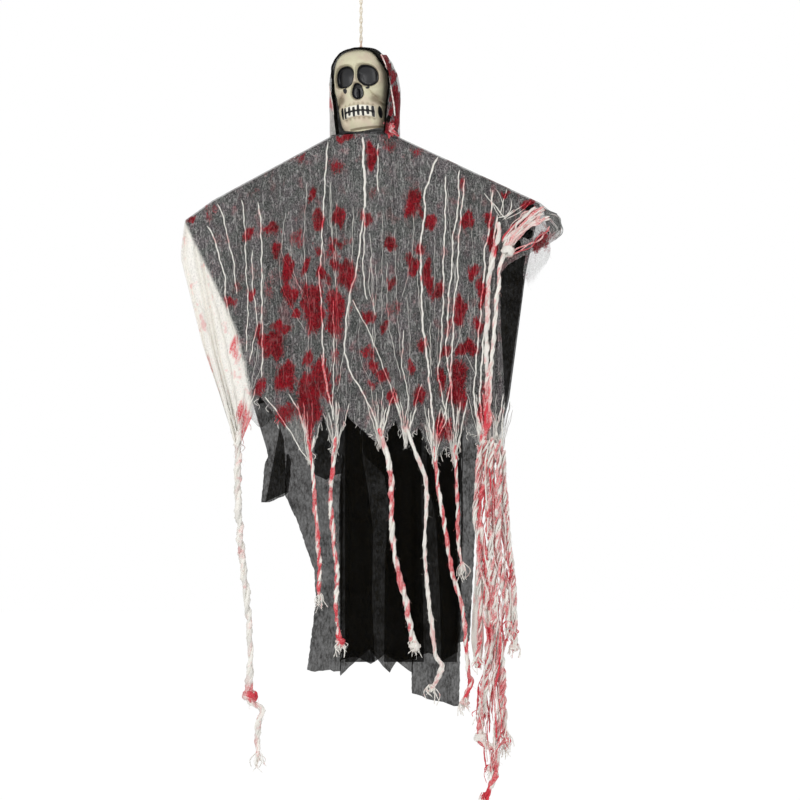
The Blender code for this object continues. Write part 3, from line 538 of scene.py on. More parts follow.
def tooth_gaps(side, rise, width):
    """Dark lines between the teeth of both rows, each of its own length."""
    number = np.floor(side / TOOTH_PITCH + 0.5)
    away = np.abs(side - number * TOOTH_PITCH)
    reach = (5.6 + 1.3 * np.sin(2.3 * number + 1.7 * (rise > 0))) * MM
    ended = smooth_step((reach - np.abs(rise)) / (1.6 * MM) + 0.5)
    return smooth_step((width - away) / width * 1.6) * ended


def face_forms(x, z):
    """How deep the face is at each place, with its black paint, brown wash and painted shade, and tooth
    enamel.
    """
    side = np.abs(x)
    mouth = np.abs(x - 2.2 * MM)
    rise = z - BITE_LEVEL + 3.2 * MM * (mouth / (20 * MM)) ** 2
    deep = 10.5 * MM * socket_shape(x, z, 0.42) ** 0.8
    deep = deep - 1.7 * MM * (socket_shape(x * 0.86, z * 0.86 + 9.3 * MM, 0.3) - socket_shape(x, z, 0.3))
    septum = np.exp(-((x - 1.3 * MM) / (1.2 * MM)) ** 2) * oval(x, z, 1.3, 45, 5, 11, 0.5)
    deep = deep + 8 * MM * nose_shape(x, z, 0.5) - 4.5 * MM * septum
    for amount, mirrored, *place in FACE_SWELLS:
        deep = deep - amount * MM * oval(side if mirrored else x, z, *place)
    under = 53 * MM - 1.25 * (side - 11.6 * MM) - z
    hollow = smooth_step(under / (6 * MM) + 0.5) * np.exp(-np.maximum(under, 0) / (10 * MM))
    hollow = hollow * smooth_step((side - 10 * MM) / (9 * MM)) * smooth_step((z - 26 * MM) / (6 * MM))
    deep = deep + 4.2 * MM * hollow
    in_row = smooth_step((20.2 * MM - mouth) / (2.6 * MM))
    band = smooth_step((8.6 * MM - np.abs(rise)) / (3.2 * MM))
    tooth = mouth / TOOTH_PITCH
    bulge = np.cos(math.pi * (tooth - np.floor(tooth + 0.5)) + math.pi / 2)
    deep = deep - (1.8 + 0.9 * np.sqrt(np.abs(bulge))) * MM * in_row * band
    gaps = tooth_gaps(mouth, rise, 2.4 * MM - 0.12 * np.abs(rise)) * in_row
    bite = smooth_step((1.3 * MM - np.abs(rise)) / (0.7 * MM))
    bite = bite * smooth_step((18.5 * MM - mouth) / (1.5 * MM))
    roots = 0.5 + 0.5 * np.cos(2 * math.pi * tooth)
    root_band = smooth_step((13 * MM - np.abs(rise)) / (5 * MM)) - band
    slots = ovals(x, z, JAW_SLOTS)
    deep = deep + (1.4 * gaps + 1.6 * bite + 0.7 * roots * root_band * in_row + 3.0 * slots) * MM
    ink = highest(socket_shape(x, z, 0.16), nose_shape(x, z, 0.18) * (1 - 0.3 * septum), gaps * 1.2,
                  bite * 1.1, slots * 1.1, ovals(x, z, PAINT_TEARS), 0.9 * ovals(x, z, PAINT_DRIPS))
    seam = np.abs(z - 2.8 * MM - 0.07 * x) + 12 * MM * (x < -11 * MM)
    # Brown wash and painted shade: brown paint round the sockets, nose and tooth roots, a dark line along the
    # chin seam, and painted shade under the cheekbones and on the sides of the face.
    wash = highest(0.6 * socket_shape(x * 0.92, z * 0.92 + 5.3 * MM, 0.35),
                   0.6 * nose_shape(x * 0.84, (z - 49 * MM) * 0.84 + 49 * MM, 0.4),
                   1.1 * hollow * smooth_step((side - 11 * MM) / (12 * MM)),
                   0.6 * root_band * in_row * (0.3 + 0.7 * roots),
                   0.3 * smooth_step((side - 26 * MM) / (6 * MM)),
                   0.85 * ovals(x, z, CHEEK_PAINTED_SHADE),
                   1.1 * smooth_step((2.1 * MM - seam) / (1.4 * MM)))
    # The enamel's white fades toward the ends of the tooth row.
    enamel_fade = 0.45 * smooth_step((mouth - 10 * MM) / (8 * MM))
    enamel = in_row * smooth_step((7.2 * MM - np.abs(rise)) / (1.8 * MM)) * (1 - enamel_fade)
    return deep, np.clip(ink, 0, 1), np.clip(wash, 0, 1), enamel


def face_skin(inset):
    """The outer (inset 0) or inner skin of the face as a grid, with its paint."""
    rows = np.linspace(0, 1, FACE_ROWS)[:, None]
    angle = np.linspace(-math.pi / 2, math.pi / 2, FACE_COLUMNS)[None, :]
    share = np.sin(angle) * np.ones_like(rows)
    bottom = JAW_CORNER_RISE * share ** 2
    z = bottom + (SKULL_HEIGHT - bottom) * rows
    level = z / SKULL_HEIGHT
    half = np.maximum(SKULL_WIDTH / 2 * rounded_profile(HALF_WIDTH, level) - inset, CROWN_HOLE_RADIUS)
    reach = np.maximum(FACE_DEPTH * rounded_profile(FRONT_DEPTH, level) - inset, CROWN_HOLE_RADIUS)
    x = half * share
    out = reach * np.maximum(1 - np.abs(share) ** FACE_SQUARENESS, 0) ** (1 / FACE_SQUARENESS)
    deep, ink, wash, enamel = face_forms(x, z)
    calm = smooth_step(out / (8 * MM))
    y = -(out - deep * calm) - CLEARANCE / 2
    drop = inset * smooth_step((level - 0.8) / 0.12)
    local = np.stack([x, y, z - drop], axis=-1)
    return on_head(local), np.stack([x, z], axis=-1), {"ink": ink, "wash": wash, "enamel": enamel}


skull_sewing = Sewing()
outer, outer_flat, outer_marks = face_skin(0)
inner, inner_flat, inner_marks = face_skin(SKULL_WALL)
skull_sewing.lay(outer, outer_flat, outer_marks, turned=True)
halved = {name: value[::2, ::2] for name, value in inner_marks.items()}
skull_sewing.lay(inner[::2, ::2], inner_flat[::2, ::2], halved)
# The cut rims of the shell are darkened with the same brown wash and painted shade mark.
rims = [(np.s_[0, ::2], False), (np.s_[-2, ::2], True), (np.s_[::2, 0], True), (np.s_[::2, -1], False)]
for cut, turned in rims:
    edge = np.stack([outer[cut], inner[cut]])
    skull_sewing.lay(edge, np.zeros(edge.shape[:2] + (2,)), {"wash": 0.8}, turned=turned)
bone = Finish("bone_plastic", 0.42)
mottle = bone.noise(bone.place(), 60, 5.0, 0.65)
grain = bone.noise(bone.place(), 420, 3.0, 0.6)
# The brown over the bone is partly brown paint and partly painted shade, in the cheek hollows and on the
# sides of the face.
wash = (bone.attribute("wash") + (mottle - 0.5) * 0.5).ramped(0.1, 1.0)
ink = (bone.attribute("ink") + (grain - 0.5) * 0.25).ramped(0.38, 0.62)
base = bone.blend(mottle.ramped(0.38, 0.66), (0.62, 0.585, 0.41), (0.60, 0.50, 0.38))
base = bone.blend(bone.attribute("enamel"), base, (0.86, 0.84, 0.74))
base = bone.blend(wash * 0.85, base, (0.17, 0.13, 0.075))
bone.feed(Base_Color=bone.blend(ink, base, (0.010, 0.010, 0.012)), Roughness=0.46 - ink * 0.17)
bone.bump(grain + mottle * 0.6, 0.18, 0.3 * MM)
skull_face = skull_sewing.make("skull_face_moulding", bone)
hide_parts("skull_front")
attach(skull_face, "root")

# The back half, the foam plug and the wire are simple hidden pieces and stay as they are.
# They take their real finishes: moulded plastic, open grey foam and drawn steel.
back_bone = Finish("bone_plastic_back", 0.5)
back_mottle = back_bone.noise(back_bone.place(), 80, 4.0, 0.6)
aged = back_bone.blend(back_mottle.ramped(0.3, 0.7), (0.58, 0.54, 0.38), (0.46, 0.41, 0.27))
back_bone.feed(Base_Color=aged)
back_bone.bump(back_mottle, 0.2, 0.4 * MM)
foam = Finish("grey_foam", 0.95)
cells = foam.add("ShaderNodeTexVoronoi", None, {"Vector": foam.place(), "Scale": 650.0})
foam.feed(Base_Color=foam.blend(cells.ramped(0.1, 0.6), (0.12, 0.12, 0.12), (0.36, 0.36, 0.35)))
foam.bump(cells, 0.8, 0.8 * MM)
steel = Finish("steel_wire", 0.4, 1.0)
drawn = steel.noise(steel.place((1, 1, 0.15)), 500, 3.0, 0.6)
steel.feed(Base_Color=steel.blend(drawn.ramped(0.3, 0.7), (0.30, 0.29, 0.28), (0.46, 0.45, 0.44)))
steel.feed(Roughness=drawn * 0.25 + 0.3)
for node, finish in (("skull_back", back_bone), ("neck_plug", foam), ("shoulder_wire", steel)):
    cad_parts[node].data.materials.clear()
    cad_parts[node].data.materials.append(finish.material)


# The two hood layers are cut alike: an arch over the head, closed at the back and open at the face.
# The lining closes in on the face with a rolled rim; the gauze is caught back behind the string.
SHOULDER_X = np.array([-211, -178, -36, 43, 215, 233.2, 241]) * MM
NECK_Z = CROWN_Z - SKULL_HEIGHT - 3.0 * MM
SHOULDER_Z = NECK_Z - np.array([101, 77, 0, 0, 80, 94.7, 115]) * MM
HOOD_ARCH = [(40.7, 50), (38.4, 70), (35.2, 79), (31.8, 87), (27, 94), (19.5, 101), (4.2, 104)]
LINING_CLOSE = ([(0, 0.38), (37, 0.31), (50, 0.26), (66, 0.2), (80, 0.09), (104, 0.07)],
                [(0, 0.2), (20, 0.15), (37, 0.07), (50, 0.04), (66, 0.03), (80, 0.03), (104, 0.07)])
GAUZE_CLOSE = ([(0, 0.34), (37, 0.26), (50, 0.2), (66, 0.13), (80, 0.05), (104, 0.04)],
               [(0, 0.26), (20, 0.2), (37, 0.12), (50, 0.07), (60, 0.05), (104, 0.04)])
# How much each side of a layer is drawn in, in mm at heights over the chin.
LINING_TRIM = ([(0, 0), (104, 0)], [(0, 0), (70, 0), (88, 2.2), (104, 0)])
GAUZE_TRIM = ([(0, 1.2), (50, 0.4), (80, 1.4), (104, 0)], [(0, 0), (70, 0), (88, 2.2), (104, 0)])
GAUZE_STARTS = [-1, -1, -1, -0.6, 0, 0.1, 0.13, 0.15, 0.16, 0.16, -0.1, -0.75, -1, -1, -1, -1, -1, -1]
HOOD_SPRING = 50 * MM
HOOD_TOP = 104 * MM
HOOD_BACK = 47 * MM
HOOD_FRONT = 24 * MM


def rounded(places, values, spread):
    """Read a row of values between its places with the corners rounded off."""
    index = np.arange(len(values))
    shifts = np.linspace(-spread, spread, 7)
    return sum(np.interp(places + shift, index, values) for shift in shifts) / 7


def sided(half, stops, height):
    """Read the left or the right one of two lists of stops, by the side that a column is on."""
    left, right = [between(side, height) for side in stops]
    return np.where(half < 0, left, right)


def hood_skin(outset, starts, closing, trim, columns, rows):
    """Points of one hood layer as a grid from its front edge to its closed back."""
    whole_arch = [(-half, height) for half, height in HOOD_ARCH] + HOOD_ARCH[::-1]
    halves, heights = zip(*whole_arch)
    place = np.linspace(0, 17, columns)
    arch = np.clip(place - 2, 0, 13)
    half = rounded(arch, halves, 0.45)[None, :] * MM
    height = rounded(arch, heights, 0.45)[None, :] * MM
    drawn_in = outset - sided(half, trim, height / MM) * MM
    half = half + np.sign(half) * drawn_in * smooth_step(np.abs(half) / (6 * MM))
    start = rounded(place, starts, 0.5)[None, :]
    run = np.linspace(0, 1, rows)[:, None] ** 0.9
    depth = start + (1 - start) * run
    near = np.maximum(-depth, 0) ** 1.5
    y = np.where(depth > 0, depth * (HOOD_BACK + outset), depth * HOOD_FRONT)
    close = np.maximum(1 - np.maximum(depth, 0) ** 2.4, 0) ** (1 / 2.4)
    rise = (height - HOOD_SPRING) / (HOOD_TOP - HOOD_SPRING)
    shut = sided(half, closing, height / MM)
    x = half * close * (1 - near * shut)
    lift = (height - HOOD_SPRING + outset * rise) * close - near * 4 * MM * rise
    crease = np.sin(2.1 * place[None, :] + 3 * depth)
    crease = crease + 0.6 * np.sin(4.7 * place[None, :] - 5 * depth)
    x = x * (1 + 0.008 * crease)
    y = y + 0.5 * MM * crease * (1 - np.abs(depth))
    local = np.stack(np.broadcast_arrays(x, y, HOOD_SPRING + lift), axis=-1)
    points = on_head(local)
    side = np.where(place < 8.5, 2 - place, place - 15)[None, :]
    down = np.clip(side / 2, 0, 1)
    tuck = near * (sided(half, closing, 0 * height) - sided(half, closing, 0 * height + 50))
    points[..., 0] -= tuck * half * down
    rim = np.interp(points[..., 0], SHOULDER_X, SHOULDER_Z) + 0.6 * MM
    rim = rim - 9 * MM * smooth_step((points[..., 1] - 15 * MM) / (6 * MM))
    points[..., 2] += (rim - points[..., 2]) * down
    flat = np.stack(np.broadcast_arrays(place[None, :] * 15 * MM, run * 90 * MM), axis=-1)
    return points, flat


def stained(points, blots, loose=1.0):
    """How red each place is, from ovals of print given in the photograph's pixels."""
    px, py = pixels_of(points)
    bent = px + loose * (1.9 * np.sin(py / 5.3 + px / 9.7) + 1.1 * np.sin(py / 2.1 + 1.3 * px))
    py = py + loose * (2.3 * np.sin(px / 3.1 + py / 17) + 1.2 * np.sin(px / 1.3))
    total = np.zeros(px.shape)
    for x, y, wide, tall, strength in blots:
        reach = np.hypot((bent - x) / wide, (py - y) / tall)
        total = np.maximum(total, strength * smooth_step((1.5 - reach) / 0.9))
    return total


# Red print, each blot as its place, half width and half height in pixels, and its strength.
BLOTS = [
    (189, 218, 4, 4, 0.8), (210, 212, 6, 9, 0.55), (249, 234, 5, 7, 1), (273, 228, 7, 5, 0.9),
    (277, 250, 5, 8, 1), (300, 158, 4, 5, 0.5), (312, 193, 4, 7, 1), (337, 167, 6, 7, 0.65),
    (339, 217, 7, 9, 1), (318, 221, 6, 10, 1), (299, 234, 4, 8, 0.6), (344, 138, 9, 4, 1),
    (371, 157, 6, 12, 1), (366, 218, 5, 8, 1), (372, 192, 4, 6, 0.6), (331, 249, 4, 4, 0.9),
    (317, 250, 3, 5, 0.8), (287, 271, 6, 14, 1), (306, 268, 4, 9, 0.9), (337, 242, 9, 3, 0.7),
    (336, 264, 5, 6, 0.8), (321, 273, 4, 8, 1), (347, 275, 10, 13, 1), (328, 281, 4, 5, 0.8),
    (311, 298, 12, 14, 1), (314, 317, 9, 17, 1), (335, 312, 8, 25, 1), (290, 295, 8, 10, 0.9),
    (238, 286, 3, 6, 0.7), (251, 293, 4, 6, 0.8), (229, 301, 6, 5, 0.8), (389, 245, 6, 7, 1),
    (391, 282, 5, 6, 0.9), (369, 317, 6, 7, 0.9), (385, 325, 4, 6, 0.9), (298, 315, 4, 6, 0.8),
    (281, 327, 11, 5, 0.9), (259, 334, 3, 10, 0.9), (271, 341, 13, 9, 1), (274, 349, 12, 10, 1),
    (285, 377, 11, 14, 1), (308, 401, 13, 25, 1), (321, 377, 7, 22, 1), (311, 430, 3, 16, 1),
    (259, 387, 6, 9, 0.8), (330, 393, 4, 9, 0.7), (306, 360, 5, 8, 0.8), (281, 417, 7, 9, 1),
    (412.6, 204, 8, 15, 1), (429, 224, 6, 8, 1), (468, 220, 6, 9, 1), (463, 184, 4, 8, 0.5),
    (488, 221, 4, 9, 0.9), (493, 242, 4, 12, 1), (421, 249, 5, 6, 0.8), (412, 265, 6, 10, 1),
    (428, 275, 5, 17, 1), (437, 292, 6, 9, 0.9), (473, 271, 6, 8, 0.9), (460, 311, 7, 13, 1),
    (424, 344, 5, 7, 0.8), (526, 204, 7, 5, 1), (541, 242, 8, 10, 0.9), (481, 293, 4, 15, 1),
    (478, 327, 4, 8, 0.8), (468, 348, 12, 7, 1), (367, 353, 7, 7, 0.62), (374, 365, 7, 6, 0.7),
    (382, 376, 6, 7, 0.8), (394, 396, 5, 9, 0.9), (418, 397, 6, 9, 0.9), (410, 368, 4, 7, 0.8),
    (441, 382, 4, 15, 1), (457, 384, 9, 25, 1), (440, 426, 5, 12, 1), (449, 431, 4, 12, 1),
    (485, 410, 6, 22, 1), (244, 422, 6, 19, 0.55), (235, 349, 4, 13, 0.5), (298, 280, 7, 12, 0.4),
    (270, 285, 6, 14, 0.4), (297, 240, 9, 7, 0.5), (340, 243, 12, 4, 0.6), (333, 255, 9, 6, 0.5),
    (270, 230, 9, 7, 0.5), (256, 272, 5, 8, 0.35), (254, 191, 6, 3, 0.45), (392, 309, 8, 8, 0.45),
    (372, 384, 6, 4, 0.5), (450, 328, 5, 8, 0.5), (444, 353, 7, 6, 0.75), (507, 193, 6, 3, 0.8),
    (418, 151, 7, 5, 0.5), (388, 146, 7, 7, 0.55), (408, 158, 5, 4, 0.4), (337, 355, 4, 7, 0.5),
    (338, 378, 3, 6, 0.45), (290, 410, 6, 9, 0.8), (422, 210, 3, 6, 0.7), (482, 320, 3, 9, 0.4),
    (352, 305, 3, 7, 0.5), (388, 64, 4, 9, 1), (392, 76, 3, 7, 0.9), (396, 99, 5, 12, 1),
    (398, 117, 4, 9, 1), (390, 129, 7, 7, 0.9), (389, 112, 3, 7, 0.8), (331, 103, 3, 8, 0.5),
    (382, 56, 3, 4, 0.8), (252, 692, 9, 8, 0.7), (341, 638, 6, 6, 0.7), (468, 690, 5, 9, 0.6),
    (487, 636, 4, 10, 0.8), (484, 794, 6, 8, 1),
]

nonwoven = Finish("black_nonwoven", 0.92, 0.0, 0.04)
stretched = nonwoven.place((1, 1, 0.4))
fleece = nonwoven.noise(stretched, 420, 5.0, 0.8)
clouds = nonwoven.noise(nonwoven.place(), 45, 5.0, 0.7)
blacks = nonwoven.blend(fleece.ramped(0.4, 0.8), (0.001, 0.001, 0.001), (0.009, 0.007, 0.003))
nonwoven.feed(Base_Color=blacks, Alpha=(fleece * 1.1 + clouds * 0.6).ramped(0.6, 1.1) * 0.17 + 0.81)
nonwoven.bump(fleece, 0.5, 0.5 * MM)


def gauze_finish(name, cover, soaking=(0.22, 0.72)):
    """Open, matted gauze: hairs in a loose net, denser in streaks, soaked with red where printed."""
    finish = Finish(name, 0.92, 0.0, 0.06)
    whole = finish.place()
    upright = finish.hairs(finish.place((1, 1, 0.14)), 190, 0.035)
    crossing = finish.hairs(whole, 260, 0.03, 3.0)
    matted = finish.noise(finish.place((1, 1, 0.6)), 760, 4.0, 0.8)
    streaks = finish.noise(finish.place((1, 1, 0.06)), 150, 4.0, 0.65)
    patches = finish.noise(whole, 70, 4.0, 0.65)
    edge = (patches - 0.5) * 0.7 + (streaks - 0.5) * 0.9 + (matted - 0.5) * 2.2
    printed = finish.attribute("stain")
    mottled = finish.noise(finish.place((1, 1, 0.7)), 62, 3.0, 0.6).ramped(0.56, 0.66) * 0.42
    stain = (printed + edge).ramped(*soaking).most(mottled)
    pink = (printed + (patches - 0.5) * 0.3).ramped(0.04, 0.5)
    dense = finish.attribute("dense")
    hair = upright.most(crossing * 0.7)
    net = (matted * 1.1 + streaks * 0.3 + patches * 0.1).ramped(0.45, 1.0)
    cloth = finish.blend(patches.ramped(0.4, 0.6), (0.18, 0.205, 0.195), (0.22, 0.185, 0.21))
    cloth = finish.blend(matted.ramped(0.42, 0.68), cloth, (0.50, 0.49, 0.48))
    # Painted shade of folds: broad upright streaks darken the gauze.
    painted_fold_shade = finish.noise(finish.place((1, 1, 0.08)), 36, 3.0, 0.6)
    cloth = finish.blend(painted_fold_shade.ramped(0.35, 0.65) * 0.4, cloth, (0.08, 0.085, 0.08))
    cloth = finish.blend(hair * 0.4, cloth, (0.84, 0.82, 0.79))
    cloth = finish.blend(dense * (streaks * 0.35 + 0.8), cloth, (0.95, 0.925, 0.86))
    cloth = finish.blend(pink * dense * 0.55, cloth, (0.86, 0.42, 0.42))
    clotted = (patches * 0.5 + matted * 0.5).ramped(0.4, 0.62)
    blood = finish.blend(clotted, (0.10, 0.001, 0.004), (0.27, 0.002, 0.010))
    blood = finish.blend(dense, blood, (0.72, 0.045, 0.07))
    finish.feed(Base_Color=finish.blend(stain * (0.98 - hair * 0.12), cloth, blood))
    body = net * 0.5 + hair * 0.2 + dense * 0.62 + stain * 0.5 + cover
    finish.feed(Alpha=body.least(1.0) * (1.0 - finish.attribute("open").ramped(0.4, 0.6)))
    finish.bump(matted + streaks, 0.6, 0.6 * MM)
    return finish


gauze = gauze_finish("stained_gauze", 0.05)
LINING_OUTSET = -0.4 * MM
GAUZE_OUTSET = 2.05 * MM
HEM_ROLL = 1.15 * MM
STRING_HOLE = 2.2 * MM
lining_points, lining_flat = hood_skin(LINING_OUTSET, [-1] * 18, LINING_CLOSE, LINING_TRIM, 161, 70)
cover_points, cover_flat = hood_skin(GAUZE_OUTSET, GAUZE_STARTS, GAUZE_CLOSE, GAUZE_TRIM, 201, 90)
string_gap = np.linalg.norm(lining_points[:-1, :-1, :2], axis=-1) > STRING_HOLE
lining_sewing = Sewing()
lining_sewing.lay(lining_points, lining_flat, keep=string_gap)
yarn(lining_sewing, lining_points[0], HEM_ROLL, "rolled_hem", 6)
hood_lining = lining_sewing.make("hood_lining_cloth", nonwoven)

px, py = pixels_of(cover_points)
pale_side = smooth_step((352 - px) / 14) * 0.5
torn = stained(cover_points, [(388, 119, 2, 4, 1)], 0.4) * (cover_points[..., 1] < 0)
torn = np.maximum(torn, smooth_step((55.5 - py) / 1.5) * (px > 361))
cover_marks = {"stain": stained(cover_points, BLOTS), "dense": pale_side, "open": torn}
cover_sewing = Sewing()
cover_sewing.lay(cover_points, cover_flat, cover_marks)
# A drawn white thread runs down the right of the hood, and the gauze is tucked under the jaw in a bunch.
HOOD_THREAD = [(381, 54), (384.5, 62), (387.5, 72), (390.5, 86), (393.5, 103), (395, 116)]
hood_thread = smooth_path([seen_at(px, py, -31 * MM) for px, py in HOOD_THREAD], 1.2 * MM)
yarn(cover_sewing, hood_thread, 0.75 * MM, "drawn", 7, {"dense": 1, "stain": 0.1})
left_edge = cover_points[0, 10:32] + np.array([0, -0.6, 0]) * MM
yarn(cover_sewing, left_edge, 0.6 * MM, "drawn", 8, {"dense": 0.8, "stain": 0.15})
tuck = np.random.default_rng(9)
for number in range(16):
    spots = [seen_at(px, py, y * MM) for px, py, y in (
        (388 + tuck.normal(0, 2.5), 123 + tuck.normal(0, 1.5), -24), (390 + tuck.normal(0, 2.5), 127, -27),
        (388 + tuck.normal(0, 3), 131, -26), (393 + tuck.normal(0, 2.5), 135 + tuck.normal(0, 1.5), -20))]
    yarn(cover_sewing, smooth_path(spots, 1.2 * MM), tuck.uniform(0.5, 1.1) * MM, "tucked", 10 + number,
         {"dense": tuck.uniform(0.5, 1.0), "stain": tuck.uniform(0.2, 1.0)})
hood_gauze = cover_sewing.make("hood_gauze_cloth", gauze)


# The robe is one length of black nonwoven folded over the shoulder wire, open round the neck.
# Below the knee it is cut with scissors into ragged strips, front and back.
ROBE_X = SHOULDER_X[:5] + np.array([0.45, 0.5, 0.27, -0.28, -0.5]) * MM
ROBE_Z = SHOULDER_Z[:5] - np.array([1.6, 1.5, 1.35, 1.35, 1.45]) * MM
ROBE_COUNTS = [2, 5, 3, 6]
ROBE_UNCUT = 381 * MM
ROBE_CUTS = [-110, -85, -23, 63, 120, 138, 160]
ROBE_LEFT_SWING = [(0, 0), (0.41, 0.49), (0.64, 0.7), (1, 1)]
ROBE_RIGHT_SWING = [(0, 0), (0.28, 0.33), (0.46, 0.46), (0.79, 0.7), (1, 1)]
FRONT_STRIPS = [
    [(-115, 58), (-103, 56), (-89, 46)],
    [(-60, 256), (-49, 258), (-37, 257), (-26, 258)],
    [(-21, 263), (-6, 248), (11, 232), (34, 260), (41, 245), (59, 261)],
    [(64, 284), (80, 290), (97, 294), (114, 300)],
    [(112, 224), (126, 222)],
    [(141, 22), (149, 18), (160, 8)],
]
BACK_STRIPS = [
    [(-110, 20), (-98, 26), (-86, 18)],
    [(-84, 30), (-64, 22), (-44, 32), (-25, 24)],
    [(-21, 252), (-5, 246), (12, 256), (28, 244), (44, 254), (61, 248)],
    [(65, 250), (82, 242), (98, 252), (114, 240)],
    [(121, 60), (136, 52)],
    [(140, 16), (149, 22), (160, 10)],
]
STRIP_BOW = [0, 20, 0, 0, 6, 0]
# The left edge of the second front strip, as drops under the cuts and distances from the string.
CURVED_STRIP = 1
CURVED_EDGE = [(0, -88), (46, -88), (79, -72), (139, -51.6), (173, -49.8), (256, -60)]
# The back layer is cut away here, so that the front one shows grey against the light: x and y in pixels.
BACK_CUT_LEFT = (314, 402)
BACK_CUT_RIGHT = (459, 424)
# Two small folds of the robe's cloth: four corners in pixels, and a depth.
TIP_FOLD = ([(280, 427), (265.5, 502), (287, 492), (284, 440)], -38 * MM)
ARM_TUCK = ([(543, 208), (549, 240), (562, 228), (557, 213.5)], 1 * MM)
# A third layer of three strips hangs between front and back; their left and right edges are in pixels.
INNER_STRIPS = [
    ([(345, 240), (345, 662)], [(364, 240), (362, 455), (368, 490), (373, 530), (372, 600), (375, 662)]),
    ([(361, 240), (363, 455), (384, 474), (389, 505), (385, 560), (384, 662)],
     [(427, 240), (421, 480), (424, 662)]),
    ([(424, 240), (427, 478), (436, 520), (440, 600), (441, 662)],
     [(460, 240), (463, 470), (457, 530), (457, 662)]),
]
NECK_MIDDLE = 3.5 * MM
NECK_HALF = 39.5 * MM
# How far the cloth stands out round the neck and further down, and over what fall each comes about.
NECK_DEPTH = 15 * MM
NECK_FALL = 60 * MM
BODY_DEPTH = 28 * MM
BODY_FALL = 220 * MM
SHOULDER_BEND = 6 * MM
ROBE_SKIN = 5.0 * MM
STRIP_OVERLAP = 3.2 * MM
CUT_TEETH = 1.1


def neck_opening(x):
    """1 in the middle of the neck, falling round to 0 at its sides."""
    return np.sqrt(1 - np.minimum(np.abs(x - NECK_MIDDLE) / NECK_HALF, 1) ** 2)


def body_depth(x, z, skin):
    """How far a layer of cloth hangs in front of or behind the arms."""
    fall = np.maximum(np.interp(x, SHOULDER_X, SHOULDER_Z) - z, 0)
    neck = NECK_DEPTH * neck_opening(x) * np.exp(-fall / NECK_FALL)
    return skin + BODY_DEPTH * (1 - np.exp(-fall / BODY_FALL)) + neck


def read_stops(stops, place):
    """Read a list of stops with its corners a little rounded."""
    return (between(stops, place - 0.02) + between(stops, place + 0.02)) / 2


def fall_rows(fine, coarse):
    """Shares of a fall from 0 to 1, closer together in its first twentieth."""
    return np.concatenate([np.linspace(0, 0.05, fine)[:-1], np.linspace(0.05, 1, coarse)])


def hung_side(column, counts, line, ends, swings, falls, skin, front):
    """One side of a folded cloth as a grid: rows fall from the shoulder line to the hem."""
    knots = np.concatenate([[0], np.cumsum(counts)])
    top_x = np.interp(column, knots, line[0])[None, :]
    top_z = np.interp(column, knots, line[1])[None, :]
    end_x, end_z = ends[0][None, :], ends[1][None, :]
    fall = falls[:, None]
    share = column[None, :] / knots[-1]
    move, start = [read_stops(swings[0], place) * (1 - share) + read_stops(swings[1], place) * share
                   for place in (fall, 0.0 * fall)]
    x = top_x + (end_x - top_x) * (move - start * (1 - fall))
    z = top_z + (end_z - top_z) * fall
    dropped = np.maximum(top_z - z, 0)
    bent = (1 - np.exp(-dropped / SHOULDER_BEND)) ** 0.55
    depth = body_depth(x, z, skin) * (bent + (1 - bent) * neck_opening(x))
    return x, depth * (-1 if front else 1), z


def ripples(column, falls, count, reach, seed):
    """Loose upright folds that wander as they fall."""
    draw = np.random.default_rng(seed)
    total = 0
    for _ in range(count):
        pitch, phase = draw.uniform(0.25, 1.7), draw.uniform(0, 7)
        drift, amount = draw.uniform(-3, 3), draw.uniform(0.4, 1)
        total = total + amount * np.sin(column[None, :] * pitch * 2 + phase + drift * falls[:, None] ** 2)
    return total * reach / math.sqrt(count)


def back_kept(points):
    """Which faces of the back layer stay."""
    px, py = pixels_of(points[:-1, :-1])
    cut = (px < BACK_CUT_LEFT[0]) & (py > BACK_CUT_LEFT[1])
    return ~(cut | ((px > BACK_CUT_RIGHT[0]) & (py > BACK_CUT_RIGHT[1])))


